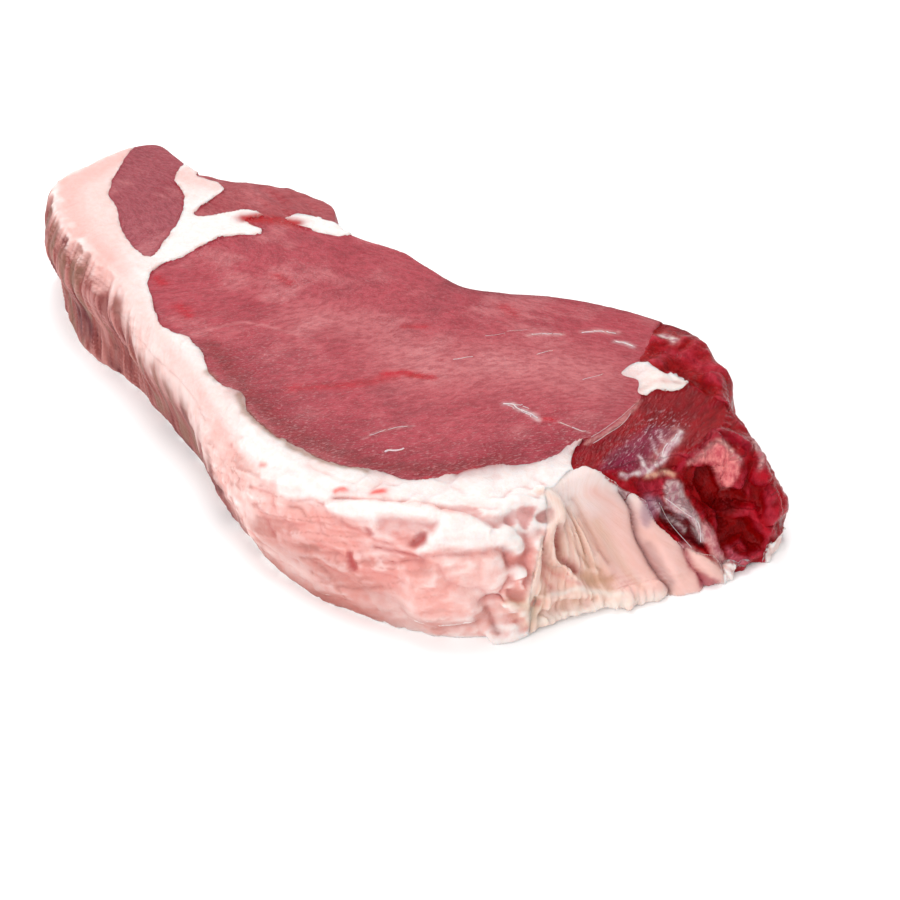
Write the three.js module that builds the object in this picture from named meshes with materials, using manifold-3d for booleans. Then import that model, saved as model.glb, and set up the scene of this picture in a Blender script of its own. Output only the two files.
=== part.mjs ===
// A raw sirloin steak: one slice cut across the loin, lying flat on its sawn face.
//
// Millimetres, +Z up. The slice lies along X: the thin tail is at -X and the thick chine end at +X.
// The fat cap runs round the -Y side and the side that lay against the ribs is at +Y.
// The origin is the middle of the slice's box, on the surface that it lies on.
//
// One whole slice is shaped first: a ring of stations round its girth, each with its own rounded rim
// and drawn-in foot. Upright cuts then divide it into its muscles, fat and sinew, each a solid
// that runs right through the slice, as the real layers do.

import * as THREE from 'three';
import { mergeVertices } from 'three/addons/utils/BufferGeometryUtils.js';
import Module from 'manifold-3d';

const wasm = await Module();
wasm.setup();

// Driving dimensions.
const THICKNESS = 27; // from the surface below to the flat of the top face
const GAP = 0.3; // clearance between two neighbouring solids
const FINE_STEP = 2.3; // spacing of stations round the lumpy front and the ragged end
const COARSE_STEP = 4.6; // spacing of stations round the smooth back and the tail
const WALL_LEVELS = 10; // rows of faces from the foot up to the rim
const TOP_RINGS = [0.97, 0.92, 0.83, 0.66, 0.36]; // rings of the top, as shares of the rim's reach
const HUB = new THREE.Vector3(0, 4, 0); // where the rings of the top and the underside close

const CHINE_DROP = 3; // how far the top falls towards the chine end
const CHINE_START = 63;
const CHINE_RUN = 38;
const TAIL_DROP = 0.4; // how far it falls towards the tail
const TAIL_START = -59;
const TAIL_RUN = 45;
const EYE_CROWN = 0.6; // the lean's low crown over the middle

// The widest line round the slice, anticlockwise from the tail. Each station is
// [x, y, how far the rim lies inside it, how far the foot lies inside it].
const GIRTH = [
  [-106.6, 30.5, 4, 2], [-107.4, 18.5, 4, 1], [-100, 7.5, 4, 0], [-86, -1.5, 5, 0], [-69, -7.5, 5, 1],
  [-53, -13.5, 4.5, 4], [-37, -21.5, 4.5, 5], [-21, -29.5, 5, 6], [-5, -38.5, 6, 6], [9, -46, 6, 5],
  [22, -50, 6, 4], [36, -51, 6, 3], [50, -50, 6, 3], [62, -46.5, 6, 2.5], [72, -40, 8, 3],
  [77, -31.5, 9, 2], [83.5, -19.5, 12, 0], [92, -8.5, 16, 0], [99.5, 0, 17, 0], [105, 8.5, 15.5, 0],
  [107.2, 17.5, 10.5, 0], [105.2, 25, 6.5, 0], [96, 32, 5.5, 0], [88, 38, 4, 1], [79, 46.5, 3, 1],
  [67, 51, 3, 1], [55, 50.5, 3, 1], [42, 48.5, 3, 1], [30, 45.5, 3, 1], [21, 39.5, 2, 1],
  [12, 36.5, 2, 1], [2, 38.5, 2, 1], [-10, 42, 2, 1], [-20, 41.5, 2, 1], [-31, 46.5, 2, 1],
  [-43, 52, 2, 1], [-56, 50.5, 2, 1], [-68, 46.5, 2, 1], [-78, 44.5, 2, 1], [-88, 48.5, 2, 1],
  [-98, 51.5, 2, 1], [-104, 43.5, 3, 2],
];
const STEEP_RIM = 8; // a rim that lies further in than this belongs to the sloping end
const SLOPED_RIM = 14; // and from here on the wall is one slope from foot to rim
const SHOULDER_START = 0.42; // share of the height where an upright wall starts to round over

// Relief of the surface. Each stroke follows a short path of [x, y, z] points, fades over its reach
// and stands out by its rise, or is sunk where that is below zero.
const RELIEF = [
  // The fat cap: soft lumps under a torn shelf, with pits between them.
  { path: [[34, -47.5, 26], [46, -44.5, 26], [56, -41.5, 26], [67, -37.5, 25]], reach: 4, rise: 0.9 },
  { path: [[41, -50.5, 22], [51, -47.5, 22]], reach: 3, rise: -1.6 },
  { path: [[58, -46.5, 19], [67, -41.5, 19]], reach: 6, rise: 2.2 },
  { path: [[55, -48.5, 8], [67, -44.5, 8]], reach: 6, rise: 1.6 },
  { path: [[37, -50.5, 12]], reach: 6, rise: 1.3 },
  { path: [[15, -48.5, 14]], reach: 7, rise: 1.4 },
  { path: [[-5, -38.5, 17]], reach: 7, rise: 1.6 },
  { path: [[71.3, -35.5, 21.5]], reach: 3.2, rise: 2.6 },
  { path: [[55, -47.5, 16]], reach: 2.8, rise: -2.4 },
  { path: [[42, -50.5, 15.5]], reach: 3, rise: -2 },
  { path: [[31, -50.5, 15]], reach: 2.6, rise: -1.6 },
  { path: [[65, -32.5, 26], [70, -28.5, 25.5]], reach: 2.8, rise: -2.4 },
  // The hollow side of the tail and the flank, where the skin side was pulled away.
  { path: [[-102, 9.5, 9], [-86, -1.5, 9], [-68, -7.5, 9], [-51, -14.5, 9]], reach: 6, rise: -2.6 },
  { path: [[-51, -14.5, 9], [-33, -23.5, 10], [-17, -31.5, 9]], reach: 5, rise: -1.8 },
  { path: [[-96, 3.5, 20], [-79, -4.5, 20], [-61, -10.5, 20]], reach: 4, rise: 0.8 },
  // The folded strap of sinew beside the fan, and the torn corner at its foot.
  { path: [[73, -22.5, 25], [74, -28.5, 22], [76, -32.5, 17], [75.5, -35.5, 9]], reach: 2.6, rise: 2.2 },
  { path: [[77.5, -25, 19], [78.5, -25.5, 13]], reach: 2.2, rise: -1.8 },
  { path: [[74, -37.5, 3], [77.5, -32.5, 2]], reach: 3.4, rise: 3 },
  // The frilled hem at the foot of the fan.
  { path: [[78, -29.5, 2], [82, -22.5, 1], [87, -14.5, 1], [93, -7.5, 1]], reach: 2.4, rise: 1.5 },
  // Slits between the bands of sinew.
  { path: [[80, -5.5, 22], [85, -7, 14], [90, -8, 6], [93, -7.5, 1]], reach: 2.2, rise: -1.8 },
  { path: [[87, 1, 17], [91, 1.3, 13], [96, 2.3, 8]], reach: 3.2, rise: -3.8 },
  // The ragged lean of the chine end: two deep pockets, the flap over them and torn knobs.
  { path: [[92, 10.5, 19], [95, 11, 15]], reach: 4, rise: -4.6 },
  { path: [[99.5, 13.5, 13.5], [102.5, 11.5, 7.5]], reach: 4.6, rise: -4.2 },
  { path: [[89.5, 13, 23.5], [93, 16.5, 22.5], [95.5, 16, 20]], reach: 3.2, rise: 3 },
  { path: [[96, 6, 11], [99.5, 5.5, 6]], reach: 2.8, rise: 1.8 },
  { path: [[103, 19, 15], [105.5, 18, 9]], reach: 3, rise: 0.9 },
  { path: [[98, 21.5, 21]], reach: 3.4, rise: 1.2 },
  { path: [[85, 12.5, 25.5], [90, 20.5, 24.5]], reach: 4, rise: 1.2 },
  { path: [[93, 31.5, 20], [98, 28.5, 12]], reach: 4, rise: -1.8 },
  // The wet lean behind the island of seam fat.
  { path: [[73, 38.5, 26.5]], reach: 4, rise: -1.6 },
  { path: [[81, 38.5, 24]], reach: 4, rise: 1.4 },
  { path: [[67, 45.5, 26.5]], reach: 4, rise: 0.9 },
];

// Where the upright cuts run, seen from above: closed smooth outlines of [x, y] points. A stretch
// outside the slice only carries the cut clear of it. They are made in this order, each piece out of
// what the ones before it left, and the fat cap is what remains.
const CHINE_FAT_HEIGHT = 4.6;
const CUTS = {
  chine_fat: [[100.5, 4.7], [104.2, 10], [105.6, 15.5], [105, 22.5], [113, 28.5], [121, 12.5], [111, 0.5]],
  sinew_fan: [
    [71.3, -15.5], [71.6, -21], [74.5, -25.5], [76, -30.5], [80, -41.5], [101, -39.5], [119, -7.5], [111, 6.5],
    [104.5, 7], [99.3, 3.5], [94.6, 0.9], [91, -0.7], [87.2, -2.1], [82.2, -2.9], [79.9, -4.9],
    [76.7, -7.1], [73.6, -8.1], [72, -10.5],
  ],
  seam_fat: [
    [62.2, 25.3], [66.3, 24.9], [68.8, 21.1], [70.6, 21.1], [71.2, 24.1], [75.3, 28.5], [74.8, 33.7],
    [72, 33.2], [69.9, 31.4], [67, 31.9], [63.1, 31.8],
  ],
  back_nodule: [
    [63.4, 31.5], [67, 31.3], [72, 32.5], [74.6, 33.1], [76.3, 31.3], [79.9, 31.2], [84.4, 31.4],
    [93, 33.5], [101, 45.5], [86, 62.5], [59, 64.5], [59.1, 45.5], [61.8, 36.8],
  ],
  end_muscle: [
    [68.2, -0.4], [69.8, -8.4], [73, -11.5], [85, -13.5], [105, -13.5], [127, -3.5], [129, 34.5], [101, 46.5],
    [83, 38.5], [75, 31.5], [71, 27.5], [68.5, 22.5], [69.9, 20.4], [70.6, 17.1], [71.7, 9.7], [70.9, 3.1],
  ],
  tail_muscle: [
    [-89.3, 22.5], [-85.5, 20.5], [-79.5, 15.5], [-73, 10.1], [-64.5, 5.1], [-58.9, 4.1], [-60.5, 10.5],
    [-64.6, 21], [-72.9, 33], [-80.5, 38.5], [-83.5, 44.5], [-85, 54.5], [-93, 62.5], [-103, 57.5],
    [-100.5, 43.5], [-95.7, 33.4],
  ],
  rib_strip: [
    [-64.2, 27.1], [-61.1, 27.5], [-55.7, 35.4], [-51, 38.3], [-47.6, 41.5], [-42.5, 42.7],
    [-36.5, 43.1], [-29, 43.5], [-26, 50.5], [-39, 60.5], [-56, 60.5], [-71, 56.5], [-79, 50.5], [-77, 42.9],
    [-70, 43.1], [-66.2, 40.8], [-65.5, 34.8],
  ],
  eye_muscle: [
    [-53.1, -2.3], [-48.7, -7.7], [-41.3, -13.8], [-36.9, -17.3], [-32.2, -18.7], [-27.6, -18.2],
    [-24.5, -20.1], [-20.7, -21.5], [-15.2, -26.3], [-8.9, -28.6], [-2.6, -29.1], [1.9, -33.5],
    [8.2, -35.8], [15.8, -37.3], [28.5, -38.2], [39.2, -35.1], [46, -33.8], [50.8, -29.7],
    [54.4, -23.9], [58.8, -19.2], [63.2, -14.4], [65.6, -11], [68, -0.7], [75, 6.5], [81, 20.5],
    [85, 40.5], [76, 62.5], [51, 62.5], [21, 52.5], [1, 50.5], [-14, 54.5], [-25, 52.5], [-25.5, 39.5],
    [-32.1, 37.5], [-37, 37.2], [-40.5, 37.4], [-44.5, 38.5], [-49.5, 35.3], [-51.6, 31.3],
    [-45.3, 30.5], [-43.6, 28.4], [-47.6, 24.9], [-50.6, 21.6], [-52.2, 15.1], [-52.8, 8.2],
    [-53.9, 4],
  ],
};
const CURVE_POINTS = 3; // straight runs between two named points of a cut's outline
const CLEAR = 3; // how far a cut passes beyond the slice above and below

const FINISH = {
  eye_muscle: { color: 0xb9606a, roughness: 0.42 },
  fat_cap: { color: 0xf6d3cc, roughness: 0.5 },
  tail_muscle: { color: 0xb4656d, roughness: 0.45 },
  rib_strip: { color: 0xc46d6f, roughness: 0.4 },
  end_muscle: { color: 0x8c2f3a, roughness: 0.35 },
  back_nodule: { color: 0x92202a, roughness: 0.3 },
  seam_fat: { color: 0xf5ece6, roughness: 0.5 },
  sinew_fan: { color: 0xeac3ad, roughness: 0.38 },
  chine_fat: { color: 0xf7dcd6, roughness: 0.48 },
};

const share = (value, start, run) => THREE.MathUtils.clamp((value - start) / run, 0, 1);
const eased = (s) => s * s * (3 - 2 * s);

function topHeight(x, y) {
  const crown = EYE_CROWN * Math.exp(-(((x - 6) / 60) ** 2) - ((y - 2) / 30) ** 2);
  const chine = CHINE_DROP * eased(share(x, CHINE_START, CHINE_RUN));
  const tail = TAIL_DROP * share(-x, -TAIL_START, TAIL_RUN);
  return THICKNESS + crown - chine - tail;
}

// Stations round the girth, closer together where the surface is lumpy.
function stationsRound() {
  const line = new THREE.CatmullRomCurve3(
    GIRTH.map(([x, y]) => new THREE.Vector3(x, y, 0)), true, 'catmullrom', 0.5);
  const insets = new THREE.CatmullRomCurve3(
    GIRTH.map(([, , rim, foot]) => new THREE.Vector3(rim, foot, 0)), true, 'catmullrom', 0.5);
  const samples = GIRTH.length * 60;
  const stations = [];
  let walked = Infinity;
  let last = line.getPoint(0);
  for (let i = 0; i < samples; i++) {
    const at = line.getPoint(i / samples);
    walked += at.distanceTo(last);
    last = at;
    const lumpy = at.y < 20 ? at.x > -10 : at.x > 84;
    if (walked < (lumpy ? FINE_STEP : COARSE_STEP)) continue;
    walked = 0;
    const along = line.getTangent(i / samples);
    const inset = insets.getPoint(i / samples);
    stations.push({ at, out: new THREE.Vector3(along.y, -along.x, 0), rim: inset.x, foot: inset.y });
  }
  return stations;
}

// A point of the bare wall: level 0 is the foot and WALL_LEVELS is the rim.
function wallPoint(station, level) {
  const rise = level / WALL_LEVELS;
  const sloping = share(station.rim, STEEP_RIM, SLOPED_RIM - STEEP_RIM);
  const start = SHOULDER_START * (1 - sloping);
  const power = 3 - 1.8 * sloping;
  const shoulder = station.rim * share(rise, start, 1 - start) ** power;
  const undercut = station.foot * Math.max(0, 1 - 2 * rise) ** 2;
  const rim = station.at.clone().addScaledVector(station.out, -station.rim);
  const point = station.at.clone().addScaledVector(station.out, -shoulder - undercut);
  point.z = rise * topHeight(rim.x, rim.y);
  return point;
}

// One column of the slice's surface: the middle of the underside, the wall, the top and its middle.
function columnOf(station) {
  const column = [HUB.clone()];
  for (let level = 0; level <= WALL_LEVELS; level++) column.push(wallPoint(station, level));
  const rim = column.at(-1);
  for (const reach of [...TOP_RINGS, 0]) {
    const point = HUB.clone().lerp(rim, reach);
    column.push(point.setZ(topHeight(point.x, point.y)));
  }
  return column;
}

const strokes = RELIEF.map(({ path, reach, rise }) => {
  const points = path.map((p) => new THREE.Vector3(...p));
  const pairs = points.slice(0, -1).map((p, i) => new THREE.Line3(p, points[i + 1]));
  const lines = pairs.length ? pairs : [new THREE.Line3(points[0], points[0])];
  return { lines, reach, rise };
});

function reliefAt(point) {
  const near = new THREE.Vector3();
  let height = 0;
  for (const { lines, reach, rise } of strokes) {
    const distances = lines.map((line) => {
      const whole = line.distanceSq() > 0;
      return point.distanceTo(whole ? line.closestPointToPoint(point, true, near) : line.start);
    });
    height += rise * Math.exp(-((Math.min(...distances) / reach) ** 2));
  }
  return height;
}

// The whole slice: a lathe's closed net of faces, with every vertex moved to its own column.
function wholeSlice() {
  const columns = stationsRound().map(columnOf);
  const count = columns.length;
  const rows = columns[0].length;
  const at = (i, j) => columns[(i + count) % count][j];
  const profile = Array.from({ length: rows }, (_, j) => {
    const onAxis = j === 0 || j === rows - 1;
    return new THREE.Vector2(onAxis ? 0 : 1, j);
  });
  const net = new THREE.LatheGeometry(profile, count);
  const position = net.getAttribute('position');
  for (let i = 0; i <= count; i++) {
    for (let j = 0; j < rows; j++) {
      const point = at(i, j).clone();
      if (j > 0 && j < rows - 1) {
        const round = at(i + 1, j).clone().sub(at(i - 1, j));
        const up = at(i, j + 1).clone().sub(at(i, Math.max(1, j - 1)));
        const normal = round.cross(up).normalize();
        if (j === 1) normal.z = 0;
        point.addScaledVector(normal, reliefAt(point));
      }
      position.setXYZ(i * rows + j, point.x, point.y, Math.max(0, point.z));
    }
  }
  return solidOf(net);
}

function solidOf(geometry) {
  geometry.deleteAttribute('normal');
  geometry.deleteAttribute('uv');
  const merged = mergeVertices(geometry, 1e-4);
  return new wasm.Manifold(new wasm.Mesh({
    numProp: 3,
    vertProperties: Float32Array.from(merged.getAttribute('position').array),
    triVerts: Uint32Array.from(merged.index.array),
  }));
}

// An upright block on a smooth closed outline, made larger or smaller all round by `grow`.
function uprightBlock(outline, grow, height) {
  const curve = new THREE.CatmullRomCurve3(
    outline.map(([x, y]) => new THREE.Vector3(x, y, 0)), true, 'centripetal');
  const points = curve.getPoints(outline.length * CURVE_POINTS).slice(0, -1);
  const turn = THREE.ShapeUtils.isClockWise(points) ? -1 : 1;
  const moved = points.map((point, i) => {
    const before = points[(i + points.length - 1) % points.length];
    const after = points[(i + 1) % points.length];
    const along = after.clone().sub(before).normalize();
    return new THREE.Vector2(point.x + along.y * grow * turn, point.y - along.x * grow * turn);
  });
  const block = new THREE.ExtrudeGeometry(new THREE.Shape(moved), {
    depth: height + CLEAR, bevelEnabled: false, steps: 1,
  });
  block.translate(0, 0, -CLEAR);
  return solidOf(block);
}

const largestOf = (solid) => solid.decompose().sort((a, b) => b.volume() - a.volume())[0];

function meshOf(name, solid) {
  const { vertProperties, triVerts } = solid.getMesh();
  const geometry = new THREE.BufferGeometry();
  geometry.setAttribute('position', new THREE.BufferAttribute(vertProperties, 3));
  geometry.setIndex(new THREE.BufferAttribute(triVerts, 1));
  const mesh = new THREE.Mesh(geometry, new THREE.MeshStandardMaterial(FINISH[name]));
  mesh.name = name;
  return mesh;
}

const steak = new THREE.Group();
let rest = wholeSlice();
for (const [name, outline] of Object.entries(CUTS)) {
  const height = name === 'chine_fat' ? CHINE_FAT_HEIGHT : THICKNESS + CLEAR;
  const piece = rest.intersect(uprightBlock(outline, -GAP / 2, height - GAP / 2));
  rest = rest.subtract(uprightBlock(outline, GAP / 2, height + GAP / 2));
  steak.add(meshOf(name, largestOf(piece)));
}
steak.add(meshOf('fat_cap', largestOf(rest)));

export default steak;
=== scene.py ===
# %% [markdown]
# # A raw sirloin steak
# A sirloin steak is one slice sawn across the loin. It holds a large lean eye, a cap of fat round
# one side, a tail with a lean oval in it, and a torn end where the slice was pulled from the bone.
# The fixed frame holds one plain solid for each of them. Here each solid is replaced by a finished
# piece in the same place, so the first step is to load that frame.

# %% Load the fixed frame
import math
import time

import bpy
import numpy as np
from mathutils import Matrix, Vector
from mathutils.kdtree import KDTree


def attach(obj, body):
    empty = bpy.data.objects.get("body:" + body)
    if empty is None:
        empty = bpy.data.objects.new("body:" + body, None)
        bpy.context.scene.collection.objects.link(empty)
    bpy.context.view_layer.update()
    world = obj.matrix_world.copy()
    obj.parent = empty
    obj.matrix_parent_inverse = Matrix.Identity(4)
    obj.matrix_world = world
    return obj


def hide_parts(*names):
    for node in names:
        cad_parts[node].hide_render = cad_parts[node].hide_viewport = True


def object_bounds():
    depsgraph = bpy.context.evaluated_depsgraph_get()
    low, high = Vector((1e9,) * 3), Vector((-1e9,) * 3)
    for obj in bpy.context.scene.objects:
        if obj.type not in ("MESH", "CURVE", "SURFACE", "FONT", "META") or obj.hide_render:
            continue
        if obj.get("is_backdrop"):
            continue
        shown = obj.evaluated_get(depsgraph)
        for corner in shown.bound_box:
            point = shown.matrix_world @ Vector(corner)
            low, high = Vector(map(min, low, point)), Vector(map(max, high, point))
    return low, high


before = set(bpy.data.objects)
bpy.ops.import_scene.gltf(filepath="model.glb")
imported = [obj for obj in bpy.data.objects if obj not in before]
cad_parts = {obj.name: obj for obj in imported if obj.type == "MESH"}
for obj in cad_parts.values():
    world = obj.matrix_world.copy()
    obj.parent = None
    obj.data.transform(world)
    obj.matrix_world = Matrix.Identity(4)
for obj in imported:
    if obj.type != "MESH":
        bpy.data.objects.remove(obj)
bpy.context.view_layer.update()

started = time.time()
print("nodes in the frame:", sorted(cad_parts))

# %% [markdown]
# ## Units and small tools
# Meat is easiest to think about in millimetres, and Blender's scene is in metres. Points are kept as
# arrays in millimetres, and two short helpers read and write a mesh through them. Everything is
# deselected before each new piece, because an operator acts on all that is selected.

# %% Units and small tools
MM = 0.001


def say(*words):
    print(*words, round(time.time() - started, 1), "s")


def deselect():
    if bpy.context.object and bpy.context.object.mode != "OBJECT":
        bpy.ops.object.mode_set(mode="OBJECT")
    bpy.ops.object.select_all(action="DESELECT")


def only(piece):
    deselect()
    piece.select_set(True)
    bpy.context.view_layer.objects.active = piece
    return piece


def points_of(piece):
    flat = np.empty(len(piece.data.vertices) * 3)
    piece.data.vertices.foreach_get("co", flat)
    return flat.reshape(-1, 3) / MM


def move_points(piece, points):
    piece.data.vertices.foreach_set("co", (points * MM).ravel())
    piece.data.update()


def normals_of(piece):
    flat = np.empty(len(piece.data.vertices) * 3, dtype=np.float32)
    piece.data.vertex_normals.foreach_get("vector", flat)
    return flat.reshape(-1, 3).astype(float)


def finish_with(piece, kind, **settings):
    only(piece)
    modifier = piece.modifiers.new(kind.lower(), kind)
    for name, value in settings.items():
        setattr(modifier, name, value)
    bpy.ops.object.modifier_apply(modifier=modifier.name)
    return piece


def smoothstep(value, low, high):
    t = np.clip((value - low) / (high - low), 0, 1)
    return t * t * (3 - 2 * t)


# %% [markdown]
# ## Noise
# Fat is lumpy, torn lean is ragged, and both are uneven at several sizes at once. Blender has noise
# textures, but a little lattice noise of our own gives a value at each point of an array, can be
# stretched along the grain, and gives the same surface on every run.

# %% Noise
HASH = (374761393, 668265263, 2246822519, 3266489917)


def lattice(i, j, k, seed):
    """A scrambled value from -1 to 1 for each corner of the lattice."""
    mixed = (i * HASH[0] + j * HASH[1] + k * HASH[2] + seed * HASH[3]) & 0xFFFFFFFF
    mixed = ((mixed ^ (mixed >> 15)) * HASH[2]) & 0xFFFFFFFF
    mixed = ((mixed ^ (mixed >> 13)) * HASH[3]) & 0xFFFFFFFF
    return ((mixed ^ (mixed >> 16)) & 0xFFFF) / 32767.5 - 1


def noise(points, size, seed=0):
    """Smooth noise from -1 to 1, with features of about `size` mm (one number or one per axis)."""
    scaled = points / size + 1000
    cell = np.floor(scaled).astype(np.int64)
    part = scaled - cell
    part = part * part * part * (part * (part * 6 - 15) + 10)
    total = 0
    for corner in range(8):
        bits = [(corner >> axis) & 1 for axis in range(3)]
        weight = 1
        for axis, bit in enumerate(bits):
            weight = weight * (part[:, axis] if bit else 1 - part[:, axis])
        total = total + weight * lattice(*(cell[:, a] + bits[a] for a in range(3)), seed)
    return total


def lumps(points, size, seed=0):
    """Rounded lumps with sharp creases between them, from 0 in a crease to about 1."""
    return np.abs(noise(points, size, seed)) * 1.6


def along(points, angle, long, short):
    """Points turned and squeezed so that noise on them is stretched along `angle` in plan."""
    c, s = math.cos(math.radians(angle)), math.sin(math.radians(angle))
    x, y = points[:, 0] * c + points[:, 1] * s, points[:, 1] * c - points[:, 0] * s
    return np.column_stack([x / long, y / short, points[:, 2] / short])


# %% [markdown]
# ## The slice
# A sirloin slice is about 27 mm thick, with rounded shoulders, a foot drawn in under the fat and one
# end that slopes out to the board. It could be carved from a block, but its girth is the shape that a
# butcher sees, so a sphere is added and its rings are moved out to a ring of stations round the girth.
# Each station says how far its rim and its foot lie inside the widest line.

# %% The slice's girth
THICKNESS = 27
CROWN, END_FALL, TAIL_DIP = 0.6, 3, 0.4
HUB = (0, 4)

# x, y, how far the rim lies inside the widest line, how far the foot lies inside it
GIRTH = np.array([
    [-107.3, 31, 3, 2], [-107.2, 19, 2.5, 2], [-98.8, 8.6, 3.5, 3.5], [-86, -1.5, 5, 2],
    [-70, -8, 5, 0], [-55, -14, 4.5, 3], [-38, -22.5, 4.5, 5], [-21, -29.5, 5, 4], [-5, -38.5, 6, 4.5],
    [9, -46, 6, 3.5], [22, -50, 6, 2.5], [36, -51, 6, 1.5], [50, -50, 6, 1.5], [62, -46.5, 6, 1],
    [72, -40, 8, 1.5], [77, -31.5, 9, 1], [83.5, -19.5, 12, 0], [92, -8.5, 16, 0], [99.5, 0, 17, 0],
    [103.2, 9.5, 14.5, 0], [106.8, 17.8, 12.5, 0], [104.6, 25, 10, 0], [97, 31.6, 7.5, 0],
    [86.5, 37.5, 5, 1], [78.5, 46.2, 3, 1], [67, 53, 3, 1], [55, 52.8, 3, 1], [42, 51, 3, 1],
    [30, 48, 3, 1], [20.5, 42, 2, 1], [11, 38.8, 2, 1], [1, 40.8, 2, 1], [-10, 43.8, 2, 1],
    [-19, 43.3, 2, 1], [-26.5, 43.2, 2, 1], [-32.5, 48, 2, 1], [-37, 52.3, 2, 1], [-44, 53.8, 2, 1],
    [-56, 52.5, 2, 1], [-68, 49, 2, 1], [-78, 47, 2, 1], [-88, 50.5, 2, 1], [-98, 53, 2, 1],
    [-105.5, 45.5, 3, 2],
])


def top_height(x, y):
    """The top is crowned in the middle, falls towards the torn end and dips at the tail."""
    crown = CROWN * np.exp(-(((x - 6) / 60) ** 2) - ((y - 2) / 30) ** 2)
    fall = END_FALL * smoothstep(x, 63, 101)
    return THICKNESS + crown - fall - TAIL_DIP * np.clip((-x - 59) / 45, 0, 1)


def curve_through(points, count, closed=True, tight=False):
    """`count` evenly spaced points on a smooth curve through the given ones. A tight curve keeps
    closer to short spans, so it doesn't bulge beside a sharp turn."""
    points = np.asarray(points, float)
    if len(points) == 1:
        return points
    last = len(points)
    if not closed:
        points = np.vstack([2 * points[0] - points[1], points, 2 * points[-1] - points[-2]])
    steps = np.linspace(0, last if closed else last - 1, count * 12, endpoint=not closed)
    start = np.minimum(steps.astype(int), last - 1 if closed else last - 2)
    t = (steps - start)[:, None]
    a, b, c, d = (points[(start + k - int(closed)) % len(points)] for k in range(4))
    if tight:
        ab, bc, cd = (np.linalg.norm(q - p, axis=1)[:, None] ** 0.5
                      for p, q in ((a, b), (b, c), (c, d)))
        leave = ((b - a) / ab - (c - a) / (ab + bc) + (c - b) / bc) * bc
        arrive = ((c - b) / bc - (d - b) / (bc + cd) + (d - c) / cd) * bc
    else:
        leave, arrive = (c - a) / 2, (d - b) / 2
    fine = (b + leave * t + (3 * (c - b) - 2 * leave - arrive) * t**2
            + (2 * (b - c) + leave + arrive) * t**3)
    if closed:
        fine = np.vstack([fine, fine[:1]])
    place = fine[:, :3 if points.shape[1] == 3 else 2]
    walked = np.concatenate([[0], np.cumsum(np.linalg.norm(np.diff(place, axis=0), axis=1))])
    even = np.linspace(0, walked[-1], count, endpoint=not closed)
    return np.column_stack([np.interp(even, walked, column) for column in fine.T])


# %% [markdown]
# The sphere's lowest rings become the flat underside, the middle ones the wall, and the upper ones
# the top. A wall stands upright and rounds over at its shoulder, except where the rim lies far in:
# there the wall is one slope.

# %% Raise the slice from a sphere
STATIONS = 300
UNDER_ROWS = 6
WALL_ROWS = 16
TOP_ROWS = 12


def slice_rows():
    girth = curve_through(GIRTH, STATIONS)
    middle, rim_in, foot_in = girth[:, :2], girth[:, 2], girth[:, 3]
    run = np.roll(middle, -1, axis=0) - np.roll(middle, 1, axis=0)
    run /= np.linalg.norm(run, axis=1)[:, None]
    out = np.column_stack([run[:, 1], -run[:, 0]])
    rim = middle - out * rim_in[:, None]
    rim_height = top_height(rim[:, 0], rim[:, 1])
    sloping = np.clip((rim_in - 8) / 6, 0, 1)
    start, power = 0.42 * (1 - sloping), 3 - 1.8 * sloping
    rows = []
    for rise in np.linspace(0, 1, WALL_ROWS):
        shoulder = rim_in * np.clip((rise - start) / (1 - start), 0, 1) ** power
        undercut = foot_in * np.clip(1 - 2 * rise, 0, 1) ** 2
        plan = middle - out * (shoulder + undercut)[:, None]
        rows.append(np.column_stack([plan, rise * rim_height]))
    hub = np.array(HUB)
    foot, top = rows[0][:, :2], rows[-1][:, :2]
    under = [np.column_stack([hub + (foot - hub) * share, np.zeros(STATIONS)])
             for share in np.linspace(0, 1, UNDER_ROWS + 1)[1:-1]]
    above = []
    for share in np.linspace(1, 0, TOP_ROWS + 1)[1:-1]:
        plan = hub + (top - hub) * share
        above.append(np.column_stack([plan, top_height(plan[:, 0], plan[:, 1])]))
    return under + rows + above


def raise_slice():
    rows = slice_rows()
    deselect()
    bpy.ops.mesh.primitive_uv_sphere_add(segments=STATIONS, ring_count=len(rows) + 1, radius=1)
    clay = bpy.context.object
    clay.name = "slice"
    ball = points_of(clay) * MM
    ring = np.round(np.arccos(np.clip(-ball[:, 2], -1, 1)) / math.pi * (len(rows) + 1)).astype(int)
    station = np.round(np.arctan2(ball[:, 1], ball[:, 0]) / math.tau * STATIONS).astype(int) % STATIONS
    table = np.array(rows)
    shaped = table[np.clip(ring - 1, 0, len(rows) - 1), station]
    shaped[ring == 0] = [*HUB, 0]
    shaped[ring == len(rows) + 1] = [*HUB, top_height(*HUB)]
    move_points(clay, shaped)
    return clay


clay = raise_slice()
print("slice:", len(clay.data.vertices), "points,", np.ptp(points_of(clay), axis=0).round(1), "mm")

# %% [markdown]
# ## Two ways to say where
# A lump on the wall is easiest to place by walking round the girth and then up the wall, so one pair
# of numbers is how far round and how far up, in millimetres, starting at the tail's tip. The walk goes
# on over the rim and inwards. The torn end faces one way, so places on it are given as seen
# straight on: how far to the right and how far up from its middle.

# %% Places on the wall
GIRTH_POINTS = 600
girth_line = curve_through(GIRTH[:, :2], GIRTH_POINTS)
girth_run = np.roll(girth_line, -1, axis=0) - np.roll(girth_line, 1, axis=0)
girth_run /= np.linalg.norm(girth_run, axis=1)[:, None]
girth_out = np.column_stack([girth_run[:, 1], -girth_run[:, 0]])
girth_step = np.linalg.norm(girth_line[1] - girth_line[0])
NOWHERE = 999.0


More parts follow.
